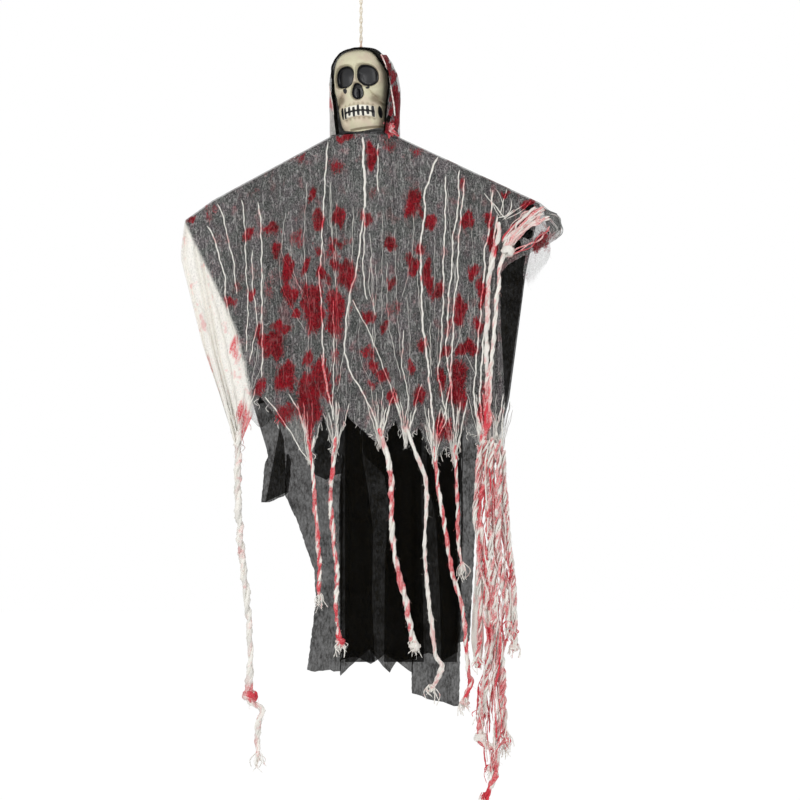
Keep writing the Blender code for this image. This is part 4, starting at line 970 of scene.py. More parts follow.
FINE = 12
robe_sewing = Sewing()
robe_falls = fall_rows(9, 100)
robe_column = np.linspace(0, 16, 16 * FINE + 1)
cut_z = NECK_Z - ROBE_UNCUT
teeth = np.random.default_rng(11)
for front, strips in ((True, FRONT_STRIPS), (False, BACK_STRIPS)):
    marks = []
    for number, strip in enumerate(strips):
        left, right = ROBE_CUTS[number], ROBE_CUTS[number + 1]
        marks += [left + (right - left) * step / (len(strip) - 1) for step in range(len(strip) - 1)]
    marks.append(ROBE_CUTS[-1])
    end_x = np.interp(robe_column, range(17), np.array(marks) * MM)
    ends = (end_x, np.full(end_x.shape, cut_z))
    x, y, z = hung_side(robe_column, ROBE_COUNTS, (ROBE_X, ROBE_Z), ends, (ROBE_LEFT_SWING, ROBE_RIGHT_SWING),
                        robe_falls, ROBE_SKIN, front)
    body = np.stack([x, y, z], axis=-1)
    flat = np.stack(np.broadcast_arrays(x, z), axis=-1)
    robe_sewing.lay(body, flat, {"fray": 0}, keep=None if front else back_kept(body), turned=not front)
    column = 0
    for number, strip in enumerate(strips):
        faces = len(strip) - 1
        inside = np.s_[column * FINE:(column + faces) * FINE + 1]
        places = np.linspace(0, faces, faces * FINE + 1)
        bottom_x = np.interp(places, range(faces + 1), [stop[0] * MM for stop in strip])
        teeth_drop = teeth.uniform(-CUT_TEETH, CUT_TEETH, 3 * faces + 1)
        jagged = np.interp(places * 3, range(3 * faces + 1), teeth_drop) * MM
        drop = np.interp(places, range(faces + 1), [stop[1] * MM for stop in strip]) + jagged
        rows = max(8, round(drop.max() / (3 * MM)))
        share = np.linspace(0, 1, rows)[:, None]
        bow = STRIP_BOW[number] * MM * np.sin(math.pi * share) * (1 - places / faces)[None, :]
        x = end_x[None, inside] + (bottom_x - end_x[inside])[None, :] * share + bow
        z = cut_z - drop[None, :] * share
        if front and number == CURVED_STRIP:
            edge_x = np.interp(cut_z - z[:, :1], *np.array(CURVED_EDGE).T * MM)
            x = edge_x + (x[:, -1:] - edge_x) * places[None, :] / faces
        wave = 3 * MM * np.sin(2.1 * places[None, :] + 1.3 * number) * smooth_step(share * 2)
        wave = wave + 0.8 * MM * np.sin(5.3 * places[None, :] + 9 * share + number) * share
        x = x + STRIP_OVERLAP * (2 * places / faces - 1)[None, :] * smooth_step(share * 4)
        wave = wave + 0.7 * MM * (number % 2)
        y = (body_depth(x, z, ROBE_SKIN) + wave) * (-1 if front else 1)
        edge = np.minimum(places, faces - places)[None, :] < 0.1
        fray = np.maximum(edge * 0.6, share > 0.985) * np.ones_like(x)
        side_teeth = teeth.uniform(-0.5, 0.5, (rows, 1)) * MM * edge
        points = np.stack([x + side_teeth, y, z], axis=-1)
        robe_sewing.lay(points, np.stack([x, z], axis=-1), {"fray": fray},
                        keep=None if front else back_kept(points), turned=not front)
        column += faces
# The end of the left cut folds over itself, and the end of the right arm is tucked inside the gauze.
for corners, depth in (TIP_FOLD, ARM_TUCK):
    places = np.array([[seen_at(*spot, depth) for spot in pair] for pair in (corners[:2], corners[:1:-1])])
    robe_sewing.lay(places, places[..., ::2])
for number, (left, right) in enumerate(INNER_STRIPS):
    row_py = np.linspace(left[0][1], left[-1][1], 90)[:, None]
    left_px, right_px = edge_at(left, row_py), edge_at(right, row_py)
    inner_px = left_px + (right_px - left_px) * np.linspace(0, 1, 25)[None, :]
    inner_y = (2 + 5 * number + 3 * np.sin(inner_px / 9)) * MM
    inner = seen_places(inner_px, row_py, inner_y)
    robe_sewing.lay(inner, inner[..., ::2])
black_robe = robe_sewing.make("black_robe_cloth", nonwoven)


# The drape is a length of matted gauze, laid over the robe like a poncho and printed red.
# Its hem is drawn together into gathers, each let down as a twisted and knotted tail.
ARCHES = [(-153.6, -4), (-118.8, 38), (-43.2, 14), (-18, 15), (42, 8), (69.6, 0),
          (100.8, -23), (122.4, 3), (150, -5), (161, -8), (172.8, -3)]
TAILS = [
    ((-145, -17), 13, 4.6, 0, [(0, 70, 1), (6, 142, 1), (12, 203, 0.9), (15, 258, 0.8), (14, 300, 1.9),
                               (27, 316, 0.8), (23, 340, 0.9), (24, 376, 0.6)]),
    ((-60, -32), 6, 2.6, 0, [(5, 39, 1), (10, 108, 1.2), (12, 137, 1), (10, 158, 1), (12, 172, 0.6)]),
    ((-30, -24), 7, 3.0, 0, [(-5, 56, 1), (-2, 108, 1), (2, 145, 1), (1, 180, 0.9), (3, 211, 0.8),
                             (6, 228, 1.7), (6, 236, 0.6)]),
    ((22, -14), 10, 3.8, 0, [(13, 34, 1), (15, 86, 0.9), (16, 121, 0.9), (23, 158, 1), (32, 193, 1.1),
                             (36, 214, 1), (42, 244, 1.7)]),
    ((54, -12), 7, 2.7, 0, [(12, 19, 1), (24, 55, 1), (22, 117, 0.7), (24, 164, 0.9), (31, 227, 1),
                            (35, 257, 1), (42, 272, 1.2), (29, 300, 0.8)]),
    ((87.6, -35), 5, 2.7, 0, [(4, 36, 1), (9, 62, 1), (21, 134, 1), (33, 179, 1), (40, 252, 1),
                              (43, 263, 1.3), (36, 290, 1.9)]),
    ((111.6, -33), 5, 2.5, 0, [(3, 46, 1), (4, 99, 1), (9, 134, 0.8)]),
    ((144, -21), 8, 4.2, 4, [(5, 32, 1), (-4, 66, 1), (-4, 85, 1), (7, 156, 1), (9, 220, 1),
                             (1, 294, 1), (-2, 345, 1.7), (14, 358, 0.9), (16, 386, 1), (3, 418, 1)]),
    ((156, -24), 6, 2.8, -8, [(2, 86, 1), (4, 134, 1), (4, 192, 1), (8, 244, 1), (12, 300, 1),
                              (15, 356, 0.7)]),
    ((166, -27), 6, 3.0, 0, [(1, 79, 1), (11, 132, 1), (16, 192, 1), (16, 232, 1.9)]),
]
GAUZE_COUNTS = [3, 9, 4, 10, 2, 2]
GAUZE_LEFT_SWING = [(0, 0), (0.18, -0.08), (0.38, 0.15), (0.6, 0.4), (0.81, 0.73), (1, 1)]
GAUZE_RIGHT_SWING = [(0, 0), (0.05, 0.15), (0.12, 0.7), (0.19, 1.1), (0.3, 1.12), (0.5, 1.1), (0.7, 1.05),
                     (1, 1)]
GAUZE_SKIN = 9.4 * MM
HEM_Z = NECK_Z - 350 * MM
# From this share of the fall down, the drape's hem sheds fibres.
FRAYED_FROM = 0.975
# The back of the drape carries scattered print of its own, in this part of the photograph's frame.
BACK_BLOTS = 55
BACK_PRINT = ((200, 160), (520, 410))
# Places on the right shoulder where the bunched gauze is torn open, in pixels with half widths.
TEARS = [(530, 209, 5, 3.4, 1), (526.5, 234, 5.5, 5.5, 1), (518, 247, 3.2, 7, 1), (538, 222, 3, 2.4, 1)]

# Left of this edge, in pixels, no robe hangs behind the gauze, and it shows cream and dense.
ROBE_EDGE = [(185, 221), (229, 312), (237, 331), (245.5, 366), (252, 399)]

hem_x, hem_z = [], []
for (arch_x, arch_rise), ((gather_x, gather_rise), width, *_) in zip(ARCHES, TAILS):
    hem_x += [arch_x, gather_x - width * 0.3, gather_x + width * 0.3]
    hem_z += [arch_rise, gather_rise - 2, gather_rise - 2]
hem_x, hem_z = hem_x + [ARCHES[-1][0]], hem_z + [ARCHES[-1][1]]
gauze_column = np.linspace(0, 30, 30 * FINE + 1)
gauze_falls = fall_rows(9, 165)
fold = [0 if index % 3 == 0 else 6 * (0.75 + 0.25 * math.sin(1.7 * index)) for index in range(31)]
end_x = np.interp(gauze_column, range(31), hem_x) * MM
end_z = HEM_Z + np.interp(gauze_column, range(31), hem_z) * MM
rag = np.random.default_rng(21).standard_normal(len(gauze_column))
end_z += np.convolve(rag, [0.3, 0.5, 0.3], "same") * 1.3 * MM
swings = (GAUZE_LEFT_SWING, GAUZE_RIGHT_SWING)
shoulders = (SHOULDER_X, SHOULDER_Z)
x, y, z = hung_side(gauze_column, GAUZE_COUNTS, shoulders, (end_x, end_z), swings, gauze_falls,
                    GAUZE_SKIN, True)
near_gather = np.minimum(np.abs((gauze_column % 3) - 1.5)[None, :], 1.5)
fallen = gauze_falls[:, None]
ridge = np.interp(gauze_column, range(31), fold)[None, :] * MM * smooth_step(fallen * 1.3)
pleats = 1.5 * MM * np.sin(gauze_column * 2 * math.pi * 2.1)[None, :] * np.exp(-near_gather ** 2 / 0.7)
ripple = ripples(gauze_column, gauze_falls, 9, 1.1 * MM, 5) * smooth_step(fallen * 6)
y = y - ridge - pleats * smooth_step((fallen - 0.62) / 0.38) - ripple
drape_points = np.stack([x, y, z], axis=-1)
px, py = pixels_of(drape_points)
robe_edge = edge_at(ROBE_EDGE, py)
dense = 0.95 * smooth_step((robe_edge + 2 - px) / 5)
pleat = np.sin(gauze_column * 9 + 2 * np.sin(gauze_column * 4))[None, :]
drape_points[..., 1] -= 2.4 * MM * pleat * dense
dense = highest(dense, 0.55 * np.exp(-near_gather ** 2 / 0.25) * smooth_step((fallen - 0.8) / 0.2))
torn = stained(drape_points, TEARS, 0.4)
fray = (fallen > FRAYED_FROM) * np.ones_like(px)
across = np.linspace(0, 0.62, len(gauze_column))[None, :] + 0 * fallen
down = np.linspace(0, 0.36, len(gauze_falls))[:, None] + 0 * across
drape_sewing = Sewing()
drape_marks = {"stain": stained(drape_points, BLOTS), "dense": dense, "open": torn, "fray": fray}
drape_sewing.lay(drape_points, np.stack([across, down], axis=-1), drape_marks)

back_column = np.linspace(0, 30, 181)
back_falls = fall_rows(5, 70)
back_x = np.interp(back_column, [0, 30], [ARCHES[0][0] * MM, ARCHES[-1][0] * MM])
back_z = HEM_Z + 12 * MM * np.sin(back_column * math.pi / 3) ** 2
x, y, z = hung_side(back_column, GAUZE_COUNTS, shoulders, (back_x, back_z), swings, back_falls,
                    GAUZE_SKIN, False)
ridge = np.interp(back_column, range(31), fold)[None, :] * MM * smooth_step(back_falls[:, None] * 1.3)
y = y + ridge + ripples(back_column, back_falls, 9, 1.1 * MM, 8) * smooth_step(back_falls[:, None] * 6)
back_points = np.stack([x, y, z], axis=-1)
draw = np.random.default_rng(31)
back_blots = [(*draw.uniform(*BACK_PRINT), *draw.uniform((4, 5), (9, 15)), 1) for _ in range(BACK_BLOTS)]
across = np.linspace(0, 0.62, len(back_column))[None, :] + 0 * y
down = np.linspace(0, 0.36, len(back_falls))[:, None] + 0 * y
back_fray = (back_falls[:, None] > FRAYED_FROM) + 0.0 * y
back_marks = {"stain": stained(back_points, back_blots), "dense": 0.1, "fray": back_fray}
drape_sewing.lay(back_points, np.stack([across, down + 0.5], axis=-1), back_marks, turned=True)
# A torn veil of it hangs free under the end of the right arm.
VEIL_TOP = [(524, 241), (530, 238), (537, 236), (545, 234), (553, 236)]
VEIL_FOOT = [(525, 292), (528, 300), (531, 296), (537, 284), (545, 270)]
veil_across = np.linspace(0, 4, 49)
veil_down = np.linspace(0, 1, 40)[:, None]
tops = [np.interp(veil_across, range(5), [spot[axis] for spot in VEIL_TOP]) for axis in (0, 1)]
feet = [np.interp(veil_across, range(5), [spot[axis] for spot in VEIL_FOOT]) for axis in (0, 1)]
px = tops[0] + (feet[0] - tops[0]) * veil_down + 1.5 * np.sin(veil_down * 7 + veil_across)
py = tops[1] + (feet[1] + draw.normal(0, 1.5, 49) - tops[1]) * veil_down
depth = -(16 + 9 * veil_down) * MM + 1.8 * MM * np.sin(veil_across * 3.4 + 3 * veil_down)
veil = seen_places(px, py, depth)
veil_open = 0.75 * smooth_step(veil_down - 0.1)
veil_marks = {"dense": 0.0, "stain": stained(veil, BLOTS), "open": veil_open, "fray": 0.4}
drape_sewing.lay(veil, veil[..., ::2], veil_marks)
gauze_drape = drape_sewing.make("gauze_drape_cloth", gauze)
drape_surface = BVHTree.FromPolygons([tuple(point) for point in drape_points.reshape(-1, 3)],
                                     [tuple(face) for face in drape_sewing.faces[0].tolist()])


def on_cloth(px, py, lift, depth=-30 * MM):
    """The place just in front of the gauze seen at a pixel, or one at the given depth beside the gauze."""
    eye = Vector(CAMERA_PLACE)
    run = (seen_at(px, py) - eye).normalized()
    hit = drape_surface.ray_cast(eye, run)[0]
    return seen_at(px, py, depth) if hit is None else hit - run * lift


# The tails are strips of the same gauze, pulled into a few loose strands and twisted into ropes.
# Each starts in a gather of the hem; some are knotted, and all end in a frayed brush of threads.
ropes = gauze_finish("twisted_gauze", 0.72, (0.16, 0.86))
tail_sewing = Sewing()
draw = np.random.default_rng(41)
ROPE_LAY = 38 * MM
TAIL_DEPTH = 42 * MM
BRUSH_THREADS = 14
REDNESS = [0.2, 0.72, 0.68, 0.6, 0.2, 0.66, 0.7, 0.7, 0.6, 0.6]
SLIMNESS = 0.86


def thread_marks(dense, stain):
    return {"dense": dense, "stain": stain, "open": 0, "fray": 1}


def rope_marks(path, dense=0.9, stain=1.0, spread=0.0):
    """Marks of a thread, red where it crosses print and by an even share besides."""
    return thread_marks(dense, np.clip(stained(as_array(path), BLOTS) * stain + spread, 0, 1))


def rope(sewing, route, sizes, strands, seed, reach=0.5, redness=0.3):
    """Strands twisted loosely round one another, each of its own thickness and stain."""
    path = as_array(route)
    draw = np.random.default_rng(seed)
    across, ahead = carried_frames(path)
    along = run_lengths(path)
    for number in range(strands):
        wander = draw.uniform(0, 7)
        turn = 2 * math.pi * (number / strands + along / ROPE_LAY) + 0.7 * np.sin(along / (17 * MM) + wander)
        off = sizes * reach * (1 + 0.35 * np.sin(along / (12 * MM) + 2 * wander))
        strand = path + across * (np.cos(turn) * off)[:, None] + ahead * (np.sin(turn) * off)[:, None]
        thick = sizes * draw.uniform(0.8, 1.2) / math.sqrt(strands)
        thick = thick * (1 + 0.18 * np.sin(along / (8 * MM) + 3 * wander))
        soaked = np.sin(along / (draw.uniform(4, 8) * MM) + 5 * wander)
        soaked = soaked + np.sin(along / (15 * MM) + 9 * wander)
        soaked = redness * smooth_step((soaked + 2 * redness - 0.7) / 0.9)
        marks = rope_marks(strand, draw.uniform(0.75, 1.0), draw.uniform(0.4, 1.0), soaked)
        yarn(sewing, strand, thick, "strand", seed + number, marks)


def wound_knot(sewing, centre, radius, seed):
    """A knot: the rope passed twice round itself and drawn tight."""
    draw = np.random.default_rng(seed)
    tilt = Matrix.Rotation(draw.uniform(0.3, 0.7), 3, "Y")
    tilt = tilt @ Matrix.Rotation(draw.uniform(-0.5, 0.5), 3, "X")
    turns = []
    for share in np.linspace(0, 1, 61):
        angle = 2 * math.pi * 2.3 * share
        lift = (share - 0.5) * 1.5 * radius + 0.25 * radius * math.sin(3 * angle)
        off = (radius * math.cos(angle), radius * 0.85 * math.sin(angle), lift)
        turns.append(centre + tilt @ Vector(off))
    yarn(sewing, turns, radius * 0.62, "wound", seed, rope_marks(turns, 0.85, 1.1, 0.1))


for number, ((gather_x, gather_rise), _, radius, ahead, steps) in enumerate(TAILS):
    top = Vector((gather_x * MM, 0, HEM_Z + (gather_rise + 14) * MM))
    front = float(body_depth(top.x, top.z, GAUZE_SKIN)) + 6 * MM
    knots = [(0, 0, 1.0)] + [(across, down + 14, size) for across, down, size in steps]
    middle = smooth_path([(top.x + across * MM, 0, top.z - down * MM) for across, down, _ in knots], 2.2 * MM)
    thickness = [(down * MM, min(size, 1.3)) for _, down, size in knots]
    sizes = []
    route = []
    for place in middle:
        fallen = top.z - place.z
        roll = float(smooth_step(fallen / (45 * MM)))
        size = radius * MM * between(thickness, fallen)
        sizes.append(size * SLIMNESS * (0.75 + 0.25 * roll) * draw.uniform(0.92, 1.08))
        route.append(Vector((place.x, -(front + (TAIL_DEPTH + ahead * MM - front) * roll), place.z)))
    rope(tail_sewing, route, np.array(sizes), 3, 50 + 10 * number, 0.5, REDNESS[number])
    for across, down, size in knots:
        if size > 1.5:
            nearest = min(route, key=lambda place: abs(top.z - place.z - down * MM))
            wound_knot(tail_sewing, nearest, radius * MM * size * 0.62, 200 + number)
    tip = route[-1]
    for _ in range(BRUSH_THREADS):
        lean = Vector((draw.normal(0, 0.3), draw.normal(0, 0.2), -1)).normalized()
        length = draw.uniform(8, 26) * MM
        start = tip + Vector((draw.normal(0, 1.2), draw.normal(0, 1), 9)) * MM
        bend = Vector((draw.normal(0, 3), draw.normal(0, 2), 0)) * MM
        strand = smooth_path([start, start + lean * length * 0.5 + bend, start + lean * length], 1.5 * MM)
        yarn(tail_sewing, strand, draw.uniform(0.3, 0.7) * MM, "brush", marks=rope_marks(strand))
tails = tail_sewing.make("twisted_tails", ropes)

# On the right a bundle of soft, red-soaked strands hangs together, with a thin ribbon of gauze beside it.
# Loose strands fill it out; its middle and half width are given at heights in pixels.
SIDE_BUNDLE = [
    (3.0, [(486, 440), (481, 470), (478, 500), (480, 540), (484, 580), (490, 620), (497, 660),
           (503, 700), (505, 738)]),
    (3.4, [(492, 440), (490, 480), (488, 520), (492, 560), (495, 600), (492, 640), (486, 680),
           (482, 716)]),
    (3.0, [(497, 443), (499, 480), (498, 520), (500, 560), (506, 600), (508, 628)]),
    (2.6, [(503, 450), (505, 490), (508, 530), (512, 570), (515, 606), (513, 636)]),
    (3.0, [(488, 560), (492, 600), (499, 640), (503, 680), (500, 720), (494, 750), (491, 772)]),
    (2.4, [(480, 445), (477, 480), (475, 512), (478, 540), (479, 580), (480, 626), (477, 664)]),
    (2.0, [(500, 640), (502, 668), (499, 700), (503, 726), (507, 744)]),
]
BUNDLE_MIDDLE = [(440, 489), (500, 491), (560, 494), (600, 498), (646, 497), (690, 489), (722, 490),
                 (748, 491), (774, 493)]
BUNDLE_SPREAD = [(440, 8), (500, 11), (560, 14), (600, 14), (646, 11), (690, 11), (722, 13), (748, 8),
                 (774, 4)]
BUNDLE_FOOT = 774
LOOSE_STRANDS = 56
RIBBON_LEFT = [(477, 552), (473, 600), (471, 640), (475, 668)]
RIBBON_RIGHT = [(483, 552), (483, 600), (484, 640), (481, 668)]
bundle_sewing = Sewing()
draw = np.random.default_rng(43)
for number, (radius, spots) in enumerate(SIDE_BUNDLE):
    places = smooth_path([(x, y, 0) for x, y in spots], 2.0)
    route = [seen_at(place.x, place.y, -(44 + 3 * (number % 3)) * MM) for place in places]
    rope(bundle_sewing, route, np.full(len(route), radius * SLIMNESS * MM), 5, 600 + 10 * number, 0.9, 0.55)
    for _ in range(BRUSH_THREADS):
        start = route[-1] + Vector((draw.normal(0, 2), draw.normal(0, 1), 9)) * MM
        lean = Vector((draw.normal(0, 0.35), draw.normal(0, 0.2), -1)).normalized() * draw.uniform(8, 24) * MM
        half_way = start + lean * 0.5 + Vector((draw.normal(0, 2.5) * MM, 0, 0))
        strand = smooth_path([start, half_way, start + lean], 1.5 * MM)
        yarn(bundle_sewing, strand, draw.uniform(0.3, 0.8) * MM, "brush",
             marks=rope_marks(strand, 0.9, 1, 0.7 * (draw.uniform() < 0.4)))
for _ in range(LOOSE_STRANDS):
    start = draw.uniform(440, 712)
    side = draw.uniform(-1, 1)
    spots = []
    for py in np.arange(start, min(start + draw.uniform(50, 130), BUNDLE_FOOT), 17):
        px = between(BUNDLE_MIDDLE, py) + between(BUNDLE_SPREAD, py) * side + draw.normal(0, 1.6)
        spots.append((px, py, 0))
    depth = draw.uniform(42, 54) * MM
    route = [seen_at(place.x, place.y, -depth) for place in smooth_path(spots, 2.2)]
    wave = np.sin(np.arange(len(route)) / draw.uniform(4, 10) + draw.uniform(0, 6))
    soaked = draw.choice([0.05, 0.3, 0.5, 0.75]) + 0.3 * wave
    yarn(bundle_sewing, route, draw.uniform(0.45, 1.15) * MM, "loose",
         marks=rope_marks(route, draw.uniform(0.7, 1), 0.5, soaked))
row_py = np.linspace(RIBBON_LEFT[0][1], RIBBON_LEFT[-1][1], 40)[:, None]
ribbon_px = np.linspace(edge_at(RIBBON_LEFT, row_py[:, 0]), edge_at(RIBBON_RIGHT, row_py[:, 0]), 7, axis=1)
ribbon = seen_places(ribbon_px, row_py, -(40 + 2 * np.sin(2 * ribbon_px)) * MM)
bundle_sewing.lay(ribbon, ribbon[..., ::2], thread_marks(0.85, 0.0))
side_bundle = bundle_sewing.make("side_bundle", ropes)

# Long threads pulled out of the gauze hang down its front; where they cross print they are red.
# Each is a soft twisted yarn lying on the cloth.
LONG_THREADS = [
    (0.75, [(328, 142), (326, 165), (324.5, 190), (323.5, 210), (322, 235), (321, 262), (318.5, 272),
            (320, 285), (321.5, 310), (323, 350), (325, 374), (330, 400)]),
    (1.3, [(363, 137), (363.6, 164), (365, 186), (364.4, 208)]),
    (0.8, [(364.4, 206), (360.7, 237), (359, 252), (355.6, 274), (350.4, 292), (346.8, 315),
           (344.6, 349), (345.3, 355), (352, 375), (363.6, 394), (372.4, 413), (376.8, 424),
           (378, 432)]),
    (0.6, [(364.4, 206), (364.4, 237), (363, 267), (365, 289), (367, 300)]),
    (0.6, [(378, 143), (377.6, 179), (378, 192)]),
    (1.0, [(437.5, 157), (431.7, 171), (428, 183), (424.3, 196), (425, 215), (421.4, 234), (420.4, 252),
           (421.4, 281), (422, 311), (423.6, 333), (427, 356), (429.5, 384), (433, 420), (434, 440)]),
    (0.75, [(445.6, 176), (445.6, 198), (445, 230), (443.4, 259), (443.4, 296), (442, 325), (441, 349),
            (438, 372), (442, 395), (446, 420), (438, 436)]),
    (0.8, [(458.8, 170), (458, 208), (453, 237), (452, 267), (448.6, 296), (447.8, 325), (446, 352),
           (450, 380), (447, 402), (440, 430)]),
    (0.75, [(464.7, 179), (460.3, 223), (458, 252), (457.4, 281), (453.7, 303), (453, 340), (451, 365),
            (452, 400), (455, 432)]),
    (0.7, [(206.7, 226), (214, 237), (218.4, 255), (224.3, 274), (225.7, 296), (228.7, 314),
           (234.5, 331), (237, 345)]),
    (0.6, [(217, 204), (223.5, 217), (227, 236), (233, 259), (235.3, 281), (236.5, 294)]),
    (0.7, [(258, 202), (260, 215), (261, 230), (261.7, 252), (261.7, 296), (262.4, 349), (261.7, 377)]),
    (0.55, [(242, 200), (245, 230), (246, 270), (248, 300), (247, 330), (246, 352)]),
    (0.5, [(252, 250), (253, 290), (257, 320), (253, 345), (249, 362)]),
    (0.8, [(493, 190), (489, 230), (484.5, 252), (484.5, 274), (481.6, 296), (480.8, 314), (478, 340),
           (476, 365), (474, 400), (480, 425), (486, 440)]),
    (2.4, [(499.4, 222), (498.4, 235), (492.6, 259), (488, 289), (487, 318), (486.7, 349), (487, 385),
           (486, 410), (485, 440)]),
    (2.3, [(507, 238), (505.8, 248), (500, 267), (497.4, 296), (495.5, 318), (492.6, 349), (490, 385),
           (489, 430)]),
    (0.9, [(497, 215), (494, 240), (490, 262), (489, 300), (484, 335), (482, 360), (480, 400),
           (484, 432)]),
    (0.6, [(321.5, 355), (325, 380), (330, 402), (334, 420)]),
    (0.5, [(333, 300), (334, 350), (333, 395), (333, 420)]),
    (0.6, [(265, 397), (277, 412), (289, 430), (301, 450), (309, 462)]),
    (0.55, [(289, 394), (298, 410), (306, 432), (312, 455)]),
    (0.5, [(404, 330), (402, 365), (408, 395), (405, 424)]),
    (0.5, [(352, 300), (368, 330), (385, 372), (402, 420)]),
    (0.5, [(460, 402), (457, 420), (455, 440)]),
    (0.5, [(246, 400), (240, 425), (239, 442)]),
    (0.5, [(222, 380), (230, 410), (238, 440)]),
    (0.5, [(199, 300), (213, 350), (226, 400), (237, 438)]),
    (0.5, [(205, 270), (222, 330), (235, 395), (240, 440)]),
]
# A thread lies this far off the cloth, and from this radius in mm it is a rope of strands.
THREAD_LIFT = 0.6 * MM
ROPE_FROM = 1.8
FINE_THREADS = 36
FINE_ACROSS = (262, 480)
FINE_DOWN = (180, 330)
GATHER_DEPTH = -35 * MM
HEM_THREADS = 15
FRINGE_THREADS = 150
thread_sewing = Sewing()


def thread_route(spots, lift):
    """A route over the cloth through a list of the photograph's pixels, never sinking behind a fold."""
    route = []
    for place in smooth_path([(x, y, 0) for x, y in spots], 2.2):
        sway = 0.4 * math.sin(place.y / 4.3 + spots[0][0]) + 0.25 * math.sin(place.y / 1.9)
        route.append(on_cloth(place.x + sway, place.y, lift, route[-1].y if route else -12 * MM))
    heights = np.convolve([point.y for point in route], np.ones(5) / 5, "same")
    for index in range(3, len(route) - 3):
        route[index].y = min(route[index].y, heights[index])
    return route


for number, (radius, spots) in enumerate(LONG_THREADS):
    route = thread_route(spots, THREAD_LIFT + radius * MM)
    if radius > ROPE_FROM:
        rope(thread_sewing, route, np.full(len(route), radius * MM), 3, 400 + 10 * number, 0.55)
    else:
        yarn(thread_sewing, route, radius * MM, "long", 90 + number, rope_marks(route, 0.9, 0.66))

draw = np.random.default_rng(83)
gather_px = [pixels_of(np.array([x * MM, GATHER_DEPTH, HEM_Z + rise * MM])) for (x, rise), *_ in TAILS]
for _ in range(FINE_THREADS):
    start = (draw.uniform(*FINE_ACROSS), draw.uniform(*FINE_DOWN))
    foot = min(gather_px, key=lambda gather: abs(gather[0] - start[0]) + draw.uniform(0, 20))
    end = (start[0] * 0.4 + foot[0] * 0.6 + draw.normal(0, 4), draw.uniform(start[1] + 50, 400))
    middle = (start[0] + draw.normal(0, 2), (start[1] + end[1]) / 2)
    route = thread_route([start, middle, end], THREAD_LIFT)
    yarn(thread_sewing, route, draw.uniform(0.22, 0.42) * MM, "fine",
         marks=rope_marks(route, draw.uniform(0.3, 0.75)))

# Shorter threads run together into each gather, and a curled fringe hangs from the hem between them.
draw = np.random.default_rng(61)
for (gather_x, gather_rise), *_ in TAILS:
    gather = pixels_of(np.array([gather_x * MM, GATHER_DEPTH, HEM_Z + (gather_rise - 4) * MM]))
    for _ in range(HEM_THREADS):
        side = draw.uniform(-1, 1)
        rise = draw.uniform(16, 60)
        start = (gather[0] + side * rise * 0.3, gather[1] - rise)
        half_way = (gather[0] + side * rise * 0.14, gather[1] - rise * 0.45)
        end = (gather[0] + draw.normal(0, 1), gather[1] + draw.uniform(0, 8))
        route = thread_route([start, half_way, end], 0.9 * MM)
        yarn(thread_sewing, route, draw.uniform(0.25, 0.65) * MM, "hem",
             marks=rope_marks(route, draw.uniform(0.5, 1), 0.7))
for _ in range(FRINGE_THREADS):
    column = draw.integers(4, len(gauze_column) - 4)
    start = Vector(drape_points[-2, column])
    sway = Vector((draw.normal(0, 2.4), draw.normal(0, 1.5), 0)) * MM
    drop = Vector((draw.normal(0, 1.5) * MM, 0, -draw.uniform(3, 12) * MM))
    route = smooth_path([start, start + drop * 0.5 + sway, start + drop], 1.2 * MM)
    yarn(thread_sewing, route, draw.uniform(0.25, 0.5) * MM, "fringe", marks=rope_marks(route, 0.7))
threads = thread_sewing.make("pulled_threads", ropes)

# At the right shoulder the gauze is torn and drawn down in a cream and pink bunch that ends in a lump.
# Threads fan out of it over the cloth, and thin folds wrap the end of the arm.
BUNCH = [
    [(544, 209), (533, 215), (522, 225), (512, 235), (506, 246)],
    [(541, 213), (531, 220), (521, 229), (512, 240), (508, 250)],
    [(537, 209), (527, 214), (517, 223), (509, 232), (503, 241)],
    [(548, 217), (538, 221), (528, 226), (518, 235), (511, 246)],
    [(549, 228), (539, 240), (530, 246), (518, 252), (510, 255)],
]
BUNCH_LUMP = (508, 251)
BUNCH_STRANDS = 9
FEW_STRANDS = 3
ARM_END_FOLDS = [
    [(548, 213), (556, 216), (561, 224), (561, 233), (553, 239)],
    [(545, 216), (552, 221), (556, 230), (549, 238)],
    [(543, 222), (548, 228), (550, 236), (545, 243)],
]
FAN = [(484, 193), (491, 188), (496, 189), (515, 209), (512, 200), (508, 188), (526, 203), (531, 201)]
bunch_sewing = Sewing()
draw = np.random.default_rng(71)
for spots in BUNCH:
    for _ in range(BUNCH_STRANDS if spots is not BUNCH[-1] else FEW_STRANDS):
        shifted = [(x + draw.normal(0, 1.6), y + draw.normal(0, 1.6)) for x, y in spots]
        route = thread_route(shifted, draw.uniform(1.5, 5.5) * MM)
        marks = thread_marks(draw.uniform(0.7, 1), draw.choice([0.1, 0.25, 0.35, 0.45, 0.8]))
        yarn(bunch_sewing, route, draw.uniform(0.5, 1.4) * MM, "bunch", marks=marks)
for spots in ARM_END_FOLDS:
    for _ in range(FEW_STRANDS):
        shifted = [(x + draw.normal(0, 0.8), y + draw.normal(0, 0.8)) for x, y in spots]
        route = thread_route(shifted, draw.uniform(1, 3) * MM)
        marks = thread_marks(draw.uniform(0.0, 0.4), draw.choice([0, 0.1, 0.2]))
        yarn(bunch_sewing, route, draw.uniform(0.3, 0.6) * MM, "arm_fold", marks=marks)
wound_knot(bunch_sewing, on_cloth(*BUNCH_LUMP, 5 * MM), 4.6 * MM, 73)
